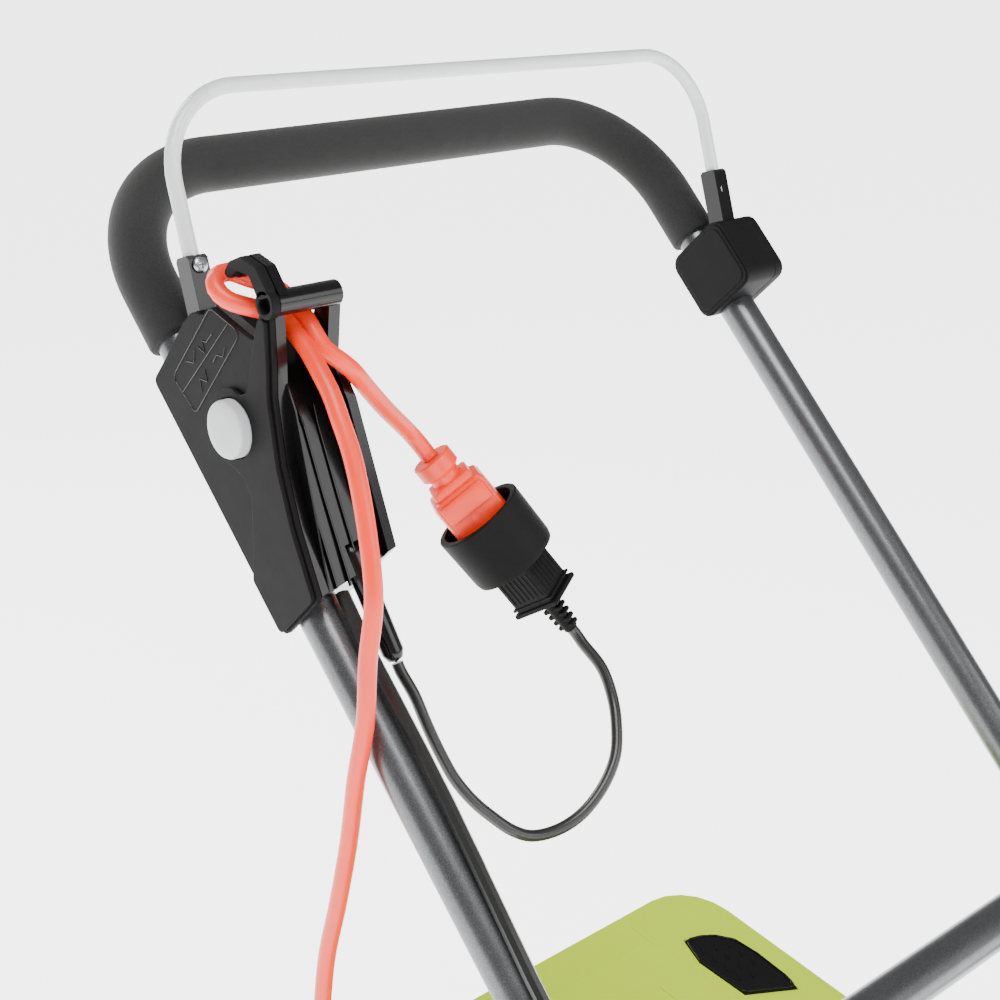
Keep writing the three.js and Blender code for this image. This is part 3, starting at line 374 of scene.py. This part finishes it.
def turnedMesh(profile, place, segments=64):
    bm = bmesh.new()
    ring = [bm.verts.new((r * mm, 0, h * mm)) for r, h in profile]
    edges = [bm.edges.new(pair) for pair in zip(ring, ring[1:])]
    bmesh.ops.spin(bm, geom=ring + edges, cent=(0, 0, 0), axis=(0, 0, 1), angle=2 * math.pi,
                   steps=segments, use_merge=True)
    bmesh.ops.remove_doubles(bm, verts=bm.verts, dist=0.000005)
    bm.transform(place)
    return bm


def together(*parts):
    whole = bmesh.new()
    for part in parts:
        mesh = bpy.data.meshes.new("part")
        part.to_mesh(mesh)
        part.free()
        whole.from_mesh(mesh)
        bpy.data.meshes.remove(mesh)
    return whole


def brick(size, place, soft=0.0):
    bm = bmesh.new()
    bmesh.ops.create_cube(bm, size=1, matrix=Matrix.Diagonal((*[v * mm for v in size], 1)))
    if soft:
        bmesh.ops.bevel(bm, geom=list(bm.edges), offset=soft * mm, offset_type="OFFSET", segments=2,
                        profile=0.5, affect="EDGES", material=-1, clamp_overlap=True)
    bm.transform(place)
    return bm


def spot(x, y, z):
    return Matrix.Translation((x * mm, y * mm, z * mm))


# side outlines are drawn in (y, z) and thickened along x
sideways = Matrix(((0, 0, 1, 0), (1, 0, 0, 0), (0, 1, 0, 0), (0, 0, 0, 1)))
onSide = toHandle @ spot(boxX * 1000, 0, 0) @ sideways

plugTop = Vector((-0.1325, 0.3304, 0.8427))
plugAxis = Vector((0.4615, -0.3971, -0.7935)).normalized()
plugSide = Vector((-0.7, 0.4, -0.6))
plugSide = (plugSide - plugAxis * plugAxis.dot(plugSide)).normalized()
toPlug = Matrix.Translation(plugTop) @ Matrix((plugSide, plugAxis.cross(plugSide),
                                               plugAxis)).transposed().to_4x4()
sleeve = {"spot": (18, 277, -25), "lean": Vector((0.12, -0.42, -0.9)).normalized(), "long": 0.057}
wrapRoute = [(54, 210.6, -65.2), (40, 203, -77.5), (26, 194.9, -90), (19.5, 188.8, -92.6),
             (14, 181.6, -93.4), (12.6, 172, -94.2), (12, 163, -94.4), (12, 157, -92.5),
             (10, 148, -92.3), (5, 138, -90.5),
             (-2, 129.5, -86.3), (-11, 123, -85), (-19, 124.5, -84.3), (-22.5, 131, -84.5),
             (-20.5, 139, -85.5), (-13, 146, -87.5), (-3.5, 152.5, -89.5), (2.3, 160.5, -91),
             (3.5, 170, -92), (2.5, 182, -95.5), (0, 196, -98.9), (-2, 211.5, -100.6),
             (-4, 227, -99.5), (-5, 241.3, -97), (-7, 257, -93.1)]
riseRoute = [(-135, 332, 847), (-141, 335, 856)]
fallRoute = [(-230, 265, 836), (-234, 257, 808), (-238, 258, 775), (-239, 260, 742), (-240, 268, 705),
             (-239, 277, 665), (-239, 288, 623), (-239, 301, 579), (-239, 310, 520), (-240, 320, 440),
             (-240, 328, 350), (-240, 334, 260), (-240, 340, 170), (-239, 348, 90), (-234, 360, 40),
             (-222, 380, 14), (-206, 404, 6)]
leadRoute = [(-68, 272, 729), (-64, 260, 716), (-66, 249, 701), (-72, 240, 689), (-81, 232, 676),
             (-95, 228, 663), (-112, 228, 652), (-128, 231, 647), (-143, 236, 647), (-154, 240, 653),
             (-163, 246, 662), (-172, 252, 673), (-179, 259, 686), (-184, 265, 701), (-188, 271, 717),
             (-191, 278, 734)]


def metres(points):
    return [Vector(p) * mm for p in points]


def coilRoute():
    low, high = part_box("extension_coil")
    cx, cy = (low[0] + high[0]) / 2, (low[1] + high[1]) / 2
    middle, spread, perTurn = 0.075, 0.01055, 18
    four, three = (1.5, 0.5, -0.5, -1.5), (1, 0, -1)
    layers = [(three, 0.0145), (four[::-1], 0.0236), (three, 0.0327), (four[::-1], 0.0054)]
    slots = [(middle + k * spread, height) for offsets, height in layers for k in offsets]
    points = []
    for turn, (radius, height) in enumerate(slots):
        after = slots[min(turn + 1, len(slots) - 1)]
        for k in range(perTurn):
            angle = math.pi - 2 * math.pi * k / perTurn
            ease = max(0, (k / perTurn - 0.72) / 0.28)
            ease = ease * ease * (3 - 2 * ease)
            reach = radius + (after[0] - radius) * ease
            rise = height + (after[1] - height) * ease
            if abs(after[1] - height) > 0.02:
                reach -= 0.014 * math.sin(math.pi * min(1, ease))
            points.append(Vector((cx + reach * math.cos(angle), cy + reach * math.sin(angle), rise)))
    cut = len(points) - round(perTurn * 0.22)
    lane = cy - (high[0] - low[0]) / 2 - 0.0053  # the plug lies beside the coil
    ending = [(cx + 0.052, lane + 0.0145, 0.0054), (cx + 0.038, lane + 0.004, 0.0053),
              (cx + 0.0203, lane, 0.0053)]
    return points[1:cut - 3] + [Vector(p) for p in ending]


print("cords")
plugLength = 0.1323
leadStart = plugTop + plugAxis * plugLength
sleeveEnd = onBox(*sleeve["spot"]) + sleeve["lean"] * (sleeve["long"] + 0.0003)
leadPoints = [leadStart, leadStart + plugAxis * 0.004, *metres(leadRoute),
              sleeveEnd + sleeve["lean"] * 0.005, sleeveEnd]
leadPath = curved(leadPoints)
lead = piece("short_lead", tubeMesh("short_lead", leadPath, 3.4 * mm, 20), "black_cable", "mower",
             ["pigtail_cable"])

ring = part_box("extension_coil")
land = Vector((ring[0][0] - 0.006, (ring[0][1] + ring[1][1]) / 2, 0.014))
cordPoints = [plugTop, plugTop - plugAxis * 0.003, *metres(riseRoute),
              *[onBox(*p) for p in wrapRoute], *metres(fallRoute),
              land + Vector((-0.008, -0.015, -0.005)), land]
cordPath = curved(cordPoints + coilRoute(), 0.004)
extension = piece("extension_lead", tubeMesh("extension_lead", cordPath, 5 * mm, 14), "orange",
                  "mower", ["extension_cord", "extension_coil"])

print("tubes")


def handleTube(name, node, corners, bend, outer, inner):
    path = [toHandle @ p for p in bent(metres(corners), bend * mm)]
    mesh = tubeMesh(name, path, outer * mm, 40, inner * mm)
    piece(name, mesh, slotOf[node], "mower", [node])


def arch(x, low, top, other=None):
    return [(-x, low, 0), (-x, top, 0), (x, top if other is None else other, 0), (x, low, 0)]


upper = {"corners": arch(219, -760, 0), "bend": 76, "outer": 12.5, "inner": 11}
handleTube("upper_tube", "upper_handle", **upper)
lower = {"corners": arch(191.5, -1055, -616), "bend": 55, "outer": 14, "inner": 12.5}
handleTube("lower_hoop", "lower_handle", **lower)
bail = {"corners": arch(217.5, 18, 138.2, 130.7), "bend": 50, "radius": 4.5}
bailPath = [toBail @ p for p in bent(metres(bail["corners"]), bail["bend"] * mm)]
piece("bail_wire", tubeMesh("bail_wire", bailPath, bail["radius"] * mm, 28), "bail", "bail",
      ["bail_rod"])


def foamGrip():
    foam = {"corners": arch(219, -113, 0), "bend": 76, "radius": 16.7, "sides": 48,
            "rim": [(0, 12.9), (0.2, 15.2), (0.9, 16.2), (2.4, 16.7)]}  # rounded ends, in steps
    path = bent(metres(foam["corners"]), foam["bend"] * mm, 22)
    lifts = [Vector((0, along * mm, 0)) for along, _ in foam["rim"]]
    ends = [radius for _, radius in foam["rim"]]
    rings = [path[0] + lift for lift in lifts] + path[1:-1]
    rings += [path[-1] + lift for lift in lifts[::-1]]
    radii = ends + [foam["radius"]] * (len(path) - 2) + ends[::-1]
    rings = [toHandle @ p for p in rings]
    sides = foam["sides"]
    mesh = tubeMesh("foam_sleeve", rings, 1, sides)
    for i, (centre, radius) in enumerate(zip(rings, radii)):
        for vertex in mesh.vertices[i * sides:(i + 1) * sides]:
            vertex.co = centre + (vertex.co - centre).normalized() * radius * mm
    obj = piece("foam_sleeve", mesh, "foam", "mower", ["foam_grip"])


foamGrip()

print("switch box")
sideProfile = [(-291, -15), (-291, 28), (-254, 40.6), (-224, 55), (-195, 75.6), (-183, 88),
               (-163.6, 106), (-156, 101), (-166.5, 85), (-155, 78), (-130, 65), (-129, 54),
               (-121.5, 46.6), (-121, 35.7), (-124, 10), (-126, -15)]
buttonSpot = (-188, 35.7)
outline = roundOff(sideProfile, 5)
coverBase = plate("cover_base", [outline, ringOf(17.6, *buttonSpot)], -16.8, -13.65, 0.5, onSide)
raised = [(-289.5, -14), (-289.5, 27), (-253, 39.4), (-223.4, 53.6), (-194, 74), (-182, 86.5),
          (-164.4, 103.2), (-160, 99), (-167.2, 85.5), (-173.5, 75.1), (-179, 66.2), (-181.2, 59.8),
          (-179.2, 54.6), (-172.6, 51), (-168.9, 45.2), (-166, 37), (-167.5, 28), (-172, 19.5),
          (-180, 14.6), (-190, 14), (-196.8, 15.2), (-203, 19), (-211.6, 22.8), (-222.4, 21.4),
          (-231.3, 12.7), (-244.8, -1.6), (-256, -14)]
raisedLoops = [roundOff(raised, 4), ringOf(16.7, *buttonSpot)]
panel = plate("cover_panel", raisedLoops, -19.5, -16.7, 0.6, onSide)
outwards = Matrix.Rotation(math.radians(-90), 4, "Y")
bossProfile = [(4.7, 0), (4.7, 4.4), (5.4, 5), (7.2, 5), (7.5, 4.6), (7.5, 0)]
boss = turnedMesh(bossProfile, toHandle @ spot(boxX * 1000 - 14.5, -159, 109) @ outwards, 48)
plug = turnedMesh([(0, 0), (5, 0)], toHandle @ spot(boxX * 1000 - 14.6, -159, 109) @ outwards, 32)
hook = roundOff([(-159, 116.5), (-142, 118), (-130, 111), (-125.5, 100), (-127, 92), (-132, 93),
                 (-133, 102), (-141, 109), (-154, 106)], 4)
hookOuter = plate("hook_outer", [hook], -19.5, -13.7, 0.9, onSide)
piece("box_cover", meshOf("box_cover", together(coverBase, plug)), "matte_black", "mower")
piece("box_panel", meshOf("box_panel", together(panel, boss, hookOuter)), "matte_black", "mower",
      ["switch_box_outer"])
kite = [(-130.5, 64), (-155.4, 77.6), (-162, 7), (-135.8, 3.6)]


def grooveLines():
    rim = roundOff(kite, 5)
    lines = [(a, rim[(i + 1) % len(rim)]) for i, a in enumerate(rim)]
    lines.append(((-145.5, 71), (-147, 6)))
    strokes = [[(-141, 55), (-141, 47), (-138, 44), (-144, 41), (-138, 38)],
               [(-137, 34), (-142, 28), (-137, 22)],
               [(-152, 60), (-155, 54), (-151, 50), (-152, 44)],
               [(-150, 34), (-156, 31), (-151, 26), (-157, 22)]]
    for stroke in strokes:
        lines += list(zip(stroke, stroke[1:]))
    level, thickness = -16.85, 0.32
    bm = bmesh.new()
    for (a, b), (c, d) in lines:
        start = onSide @ Vector((a * mm, b * mm, level * mm))
        end = onSide @ Vector((c * mm, d * mm, level * mm))
        run = end - start
        if run.length < 1e-5:
            continue
        turn = run.to_track_quat("Z", "Y").to_matrix().to_4x4()
        bmesh.ops.create_cone(bm, cap_ends=True, segments=8, radius1=thickness * mm,
                              radius2=thickness * mm, depth=run.length,
                              matrix=Matrix.Translation((start + end) / 2) @ turn)
    return bm


piece("cover_border", meshOf("cover_border", grooveLines()), "gloss_black", "mower")
refined("switch_box_inner", width=0.9, sharp=30, least=0.001)
ribs = []
for x, low, high in ((-1.5, -287, -190), (7, -288, -186), (16, -286, -196), (25, -284, -204)):
    rib = [(low, 25.5), (-240, 41), (-206, 54), (high, 59), (high, 61.4), (-206, 56.4), (-240, 43.4),
           (low, 27.4)]
    ribs.append(plate("rib", [roundOff(rib, 0.6, 2)], x - 0.6, x + 0.6, 0.3, onSide))
piece("channel_ribs", meshOf("channel_ribs", together(*ribs)), "gloss_black", "mower")
button = {"spot": (-246, *buttonSpot), "profile": [
    (0, 0), (9, 0.15), (13.4, 0.7), (15.3, 1.7), (16, 3.2), (16, 13.3), (17, 13.4), (17, 15.6),
    (4, 15.6), (4, 27), (0, 27)]}
inwards = Matrix.Rotation(math.radians(90), 4, "Y")
pushed = turnedMesh(button["profile"], toHandle @ spot(*button["spot"]) @ inwards, 72)
piece("start_cap", meshOf("start_cap", pushed), "button", "start_button", ["start_button"])

for node in ("cable_sleeve", "micro_switch", "pivot_housing_inner", "pivot_housing_outer",
             "cable_clip", "bail_lever_left", "bail_lever_right"):
    refined(node, width=1.1 if "housing" in node else 0.7, sharp=30, least=0.0008)
for node in ("button_spring", "bail_spring"):
    refined(node, width=0)

face = roundOff([(-168, -11), (-168, 36), (-125, 36), (-125, -11)], 8)
rimFace = roundOff([(-170.4, -13.4), (-170.4, 38.4), (-122.6, 38.4), (-122.6, -13.4)], 9)
proud = together(plate("housing_face", [rimFace], 199, 200.6, 0.7, toHandle @ sideways),
                 plate("housing_inset", [face], 198.4, 199.4, 0.5, toHandle @ sideways))
piece("housing_face", meshOf("housing_face", proud), "matte_black", "mower")


def panHead(name, place, body, stands, size=4.4):
    profile = [(0, -9), (1.4, -9), (1.4, 0), (size, 0), (size, 0.9), (size * 0.9, 1.7),
               (size * 0.6, 2.4), (0, 2.7)]
    piece(name, meshOf(name, turnedMesh(profile, place, 40)), "zinc", body, stands)
    cross = together(brick((size * 1.1, 0.9, 0.6), place @ spot(0, 0, 2.6)),
                     brick((0.9, size * 1.1, 0.6), place @ spot(0, 0, 2.6)))
    piece(name + "_cross", meshOf(name + "_cross", cross), "steel", body)


panHead("lever_screw", toBail @ spot(-217.5, 42, 6.8), "bail", ["bail_screw"])
for node in ("bail_pin_left", "bail_pin_right", "handle_bolt_left", "handle_bolt_right"):
    refined(node, width=0.3)
for node in ("handle_knob_left", "handle_knob_right"):
    refined(node, width=1.2, sharp=30)

print("plugs")
cup = turnedMesh([(0, 75), (21.8, 75), (22.6, 74), (23, 43.6), (23.4, 43), (26.4, 43), (27, 43.7),
                  (26.2, 75), (25.4, 78.2), (23.6, 79), (0, 79)], toPlug, 96)
twist = toPlug @ Matrix.Rotation(0.715, 4, "Z")  # the black plug sits turned in its socket
plugBody = brick((28, 25, 31), twist @ spot(0, 0, 93.5), 2.4)
lips = [brick((33, 28, 3.2), twist @ spot(0, 0, 106.6), 1.2),
        brick((30.5, 26.6, 1.6), twist @ spot(0, 0, 102.6), 0.6)]
gripRibs = [brick((1.1, 25.9, 16), twist @ spot(-10.5 + i * 3.5, 0, 91.5), 0.4) for i in range(7)]
gripRibs += [brick((28.9, 1.1, 16), twist @ spot(0, -9 + i * 3.6, 91.5), 0.4) for i in range(6)]
reliefRings = [brick((13.6 - i * 0.5, 8.6 - i * 0.3, 2.9), twist @ spot(0, 0, 111.4 + i * 4.4), 1.2)
               for i in range(5)]
reliefCore = turnedMesh([(0, 108), (4.7, 108), (4.2, 131.8), (0, 131.8)], toPlug, 32)
blades = [brick((1.6, 6.4, 18), toPlug @ spot(x, 0, 66)) for x in (-6.5, 6.5)]
plugWhole = together(cup, plugBody, *lips, *gripRibs, *reliefRings, reliefCore)
piece("plug_and_shroud", meshOf("plug_and_shroud", plugWhole), "matte_black", "mower",
      ["pigtail_plug"])
piece("plug_blades", meshOf("plug_blades", together(*blades)), "zinc", "mower")
collar = turnedMesh([(0, 0.3), (5.2, 0.3), (11.2, 0.3), (12, 1), (12, 9.2), (11.4, 10), (9.2, 11.6),
                     (9, 17), (0, 17)], toPlug, 64)
shoulders = brick((26, 22, 6), toPlug @ spot(0, 0, 18.8), 1.6)
block = brick((34, 28, 54), toPlug @ spot(0, 0, 47.5), 4)
flange = brick((30, 32, 14), toPlug @ spot(0, 0, 30), 3)
dome = turnedMesh([(0, 22), (9, 23), (13, 27), (15.6, 33), (16.6, 42), (16.8, 74), (0, 74)],
                  toPlug @ spot(0, 2, 0), 64)
socketWhole = together(collar, shoulders, block, flange, dome)
socket = piece("lead_connector", meshOf("lead_connector", socketWhole), "orange", "mower",
               ["extension_connector"])
endPlug = refined("extension_plug", width=0.9, sharp=30, least=0.0006)
refined("motor_cable", width=0)

print("deck and wheels")
refined("deck", width=3.5, sharp=40, least=0.012, segments=3)
refined("motor_frame", width=0.6)
for node in ("handle_bracket_left", "handle_bracket_right", "motor_stator", "motor_armature",
             "lower_bearing", "upper_bearing", "cooling_fan", "blade", "blade_bolt", "flap_rod",
             "rear_flap"):
    refined(node, width=0.5, sharp=35, least=0.0008)


def motorCover():
    low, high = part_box("motor_cover")
    cx, cy = (low[0] + high[0]) * 500, (low[1] + high[1]) * 500

    def around(height, angle):
        return spot(cx, cy, height) @ Matrix.Rotation(angle, 4, "Z")

    hood = [(115, 184), (115, 186), (117.4, 187.4), (118, 190), (116.5, 204), (113, 222), (107, 243),
            (97.5, 264), (84, 280), (62, 292.6), (34, 298.6), (0, 300), (0, 297), (34, 295.6),
            (61, 289.6), (82, 277.4), (95, 262), (104, 242), (110, 221), (113, 204), (115, 184)]
    dome = turnedMesh(hood, spot(cx, cy, 0), 96)
    piece("motor_hood", meshOf("motor_hood", dome), "lime", "mower", ["motor_cover"])
    skirt = [(114.6, 158.3), (116, 158.3), (116, 161.5), (112.5, 163), (112.5, 181), (114.6, 184),
             (111, 184), (110, 181), (110, 163), (112, 158.3), (114.6, 158.3)]
    fins = [brick((1.8, 5.5, 22), around(172.5, i * math.pi / 36) @ spot(0, 114.4, 0), 0.3)
            for i in range(72)]
    vented = together(turnedMesh(skirt, spot(cx, cy, 0), 96), *fins)
    piece("motor_skirt", meshOf("motor_skirt", vented), "matte_black", "mower")
    ridges = [brick((4, 26, 5), around(150.4, math.radians(a)) @ spot(0, 144, 0), 1.4)
              for a in range(20, 341, 16) if a != 180]
    piece("deck_ridges", meshOf("deck_ridges", together(*ridges)), "matte_black", "mower")
    heads = [turnedMesh([(0, -4), (4.6, -4), (4.6, 1.2), (4, 2.2), (0, 2.6)],
                        spot(cx + 124 * math.cos(a), cy + 124 * math.sin(a), 151), 24)
             for a in (math.pi * k / 3 + 0.4 for k in range(6))]
    piece("deck_screws", meshOf("deck_screws", together(*heads)), "zinc", "mower")
    badge = [(0, 299.2), (26, 298.9), (30, 300.2), (26, 301.4), (0, 302)]
    crown = turnedMesh(badge, spot(cx, cy, 0), 64)
    piece("motor_badge", meshOf("motor_badge", crown), "gloss_black", "mower")


motorCover()


def wheelMesh(radius, place):
    rim = radius - 20
    profile = [(6.3, 0.5), (14, 0.5), (15, 2), (15.5, 8), (rim - 4, 10), (rim - 1, 8), (rim, 2),
               (rim + 2, 1), (radius - 4.5, 1), (radius - 2.6, 2.2), (radius - 2.2, 4.6),
               (radius - 2.2, 28.4), (radius - 2.6, 30.8), (radius - 4.5, 32), (rim + 2, 32),
               (rim, 31), (rim - 1, 26), (rim - 4, 24.5), (15.5, 27), (15, 31), (14, 32.6),
               (6.3, 32.6), (6.3, 0.5)]
    parts = [turnedMesh(profile, place, 96)]
    lugGap, spokes = 13, 10
    count = round(radius * 2 * math.pi / lugGap)
    for i in range(count):
        turn = place @ Matrix.Rotation(2 * math.pi * i / count, 4, "Z")
        for side in (-1, 1):
            lug = turn @ Matrix.Rotation((side > 0) * math.pi / count, 4, "Z")
            lug = lug @ spot(radius - 1.7, 0, 16.5 + side * 7.4)
            parts.append(brick((3.2, 6.6, 11.6), lug @ Matrix.Rotation(side * 0.35, 4, "X"), 0.7))
    for i in range(spokes):
        turn = place @ Matrix.Rotation(2 * math.pi * i / spokes, 4, "Z")
        parts.append(brick((rim - 16, 3.2, 25), turn @ spot((rim + 14) / 2, 0, 17.2), 0.8))
    return together(*parts)


hubcap = [(0, 29), (5.3, 29), (5.3, 33.3), (24.6, 33.3), (25, 34), (24.4, 35.2), (20, 36.4),
          (18.6, 36), (10, 36.9), (0, 37.2)]
for end, radius in (("rear", 90), ("front", 75)):
    for hand, side in (("right", -1), ("left", 1)):
        low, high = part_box(f"wheel_{end}_{hand}")
        hub = [(low[k] + high[k]) * 500 for k in range(3)]
        place = spot(side * 207, hub[1], hub[2]) @ Matrix.Rotation(side * math.pi / 2, 4, "Y")
        name = f"{end}_{hand}"
        tyre = meshOf("tyre_" + name, wheelMesh(radius, place))
        piece("tyre_" + name, tyre, "wheel", "wheel_" + name, ["wheel_" + name])
        cap = meshOf("cap_" + name, turnedMesh(hubcap, place, 64))
        piece("cap_" + name, cap, "grey", "wheel_" + name, ["hubcap_" + name])
        refined("height_arm_" + name, width=0.5, sharp=35, least=0.001)

print("grass box")
refined("grass_box_lid", width=2.2, sharp=30, least=0.004, segments=3)
refined("grass_box_tub", width=3, sharp=30, least=0.004, segments=3)
slope = math.radians(10)
onLid = spot(0, 399, 396) @ Matrix.Rotation(slope, 4, "X")
for hand, side in (("right", -1), ("left", 1)):
    refined("lid_vent_" + hand, width=0.5, sharp=30)
    rim = [(134, -59), (136, -101.5), (174, -121), (177, -107.5), (178, -79.5), (175.5, -58.5),
           (166, -46.5), (156, -40.5), (142.5, -36.5)]
    rim = [(x * side, y) for x, y in rim][::side]
    inner = [(156 * side + (x - 156 * side) * 0.93, -78 + (y + 78) * 0.95) for x, y in rim]
    frameRing = plate("vent_rim", [roundOff(rim, 7, 8), roundOff(inner, 6, 8)], 0.4, 1.8, 0.4, onLid)
    lean = Matrix.Rotation(side * 0.9, 4, "Z")
    slats = [spot(side * (145 + 11 * (i % 3)), -52 - i * 4, 1.3) @ lean for i in range(11)]
    slats = [brick((7, 1, 0.9), onLid @ slat, 0.3) for slat in slats]
    piece("vent_rim_" + hand, meshOf("vent_rim_" + hand, frameRing), "gloss_black", "grass_box")
    piece("vent_slats_" + hand, meshOf("vent_slats_" + hand, together(*slats)), "gloss_black",
          "grass_box")
panelOutline = [(-124, -300), (124, -300), (124, -36), (112, -20), (-112, -20), (-124, -36)]
centre = plate("lid_panel", [roundOff(panelOutline, 16)], -0.6, 1.5, 0.8, onLid)
ridges = []
for x in range(-90, 91, 36):
    ridge = [(x - 2.5, -285), (x + 2.5, -285), (x + 2.5, -60), (x - 2.5, -60)]
    ridges.append(plate("ridge", [roundOff(ridge, 2)], 0.8, 3, 0.8, onLid))
piece("lid_panel", meshOf("lid_panel", together(centre, *ridges)), "lime", "grass_box")
tabs = [brick((44, 4, 2.6), onLid @ spot(x, 5.2, -2.6), 0.8) for x in (-150, -90, -30, 30, 90, 150)]
creases = [brick((1.4, 42, 0.9), onLid @ spot(x, -22, 0.2), 0.3) for x in (-120, 120)]
piece("lid_tabs", meshOf("lid_tabs", together(*tabs, *creases)), "lime", "grass_box")
sideRibs = []
for side in (-1, 1):
    for i in range(15):
        y = -30 + i * 26
        high = (300 if y > 45 else 231 + max(0, (y + 60)) * 0.65) - 18
        sideRibs.append(brick((3, 9, high - 124), spot(side * 198.6, y, (high + 124) / 2), 1.1))
for i in range(-6, 7):
    upright = spot(i * 24, 401.5, 252) @ Matrix.Rotation(-0.048, 4, "X")
    sideRibs.append(brick((9, 3, 190), upright, 1.1))
piece("tub_ribs", meshOf("tub_ribs", together(*sideRibs)), "matte_black", "grass_box")

print("floor and light")
bm = bmesh.new()
bmesh.ops.create_grid(bm, x_segments=1, y_segments=1, size=40)
floor = bpy.data.objects.new("floor", meshOf("floor", bm))
bpy.context.scene.collection.objects.link(floor)
ground = bpy.data.materials.new("floor")
ground.use_nodes = True
surface = ground.node_tree.nodes["Principled BSDF"].inputs
surface["Base Color"].default_value = linear("#f7f7f6")
surface["Roughness"].default_value = 0.9
surface["Emission Color"].default_value = (1, 1, 1, 1)
surface["Emission Strength"].default_value = 3.6  # a lit cove
floor.data.materials.append(ground)

world = bpy.data.worlds.new("studio")
bpy.context.scene.world = world
world.use_nodes = True
backdrop = world.node_tree.nodes["Background"].inputs
backdrop["Color"].default_value = (1, 1, 1, 1)
backdrop["Strength"].default_value = 0.3


def softbox(name, spotAt, aim, size, power):
    light = bpy.data.objects.new(name, bpy.data.lights.new(name, "AREA"))
    light.data.shape = "RECTANGLE"
    light.data.size, light.data.size_y = size
    light.data.energy = power
    light.location = spotAt
    light.rotation_euler = (Vector(aim) - Vector(spotAt)).to_track_quat("-Z", "Y").to_euler()
    bpy.context.scene.collection.objects.link(light)


softbox("key", (-0.9, -0.5, 3.1), (-0.1, 0.3, 0.8), (1.4, 1.4), 70)
softbox("fill", (0.9, -2.4, 1.9), (0, 0.2, 0.6), (2.2, 1.6), 50)
softbox("strip", (-0.4, 2.6, 2.2), (0, 0.3, 0.8), (0.5, 2.2), 60)
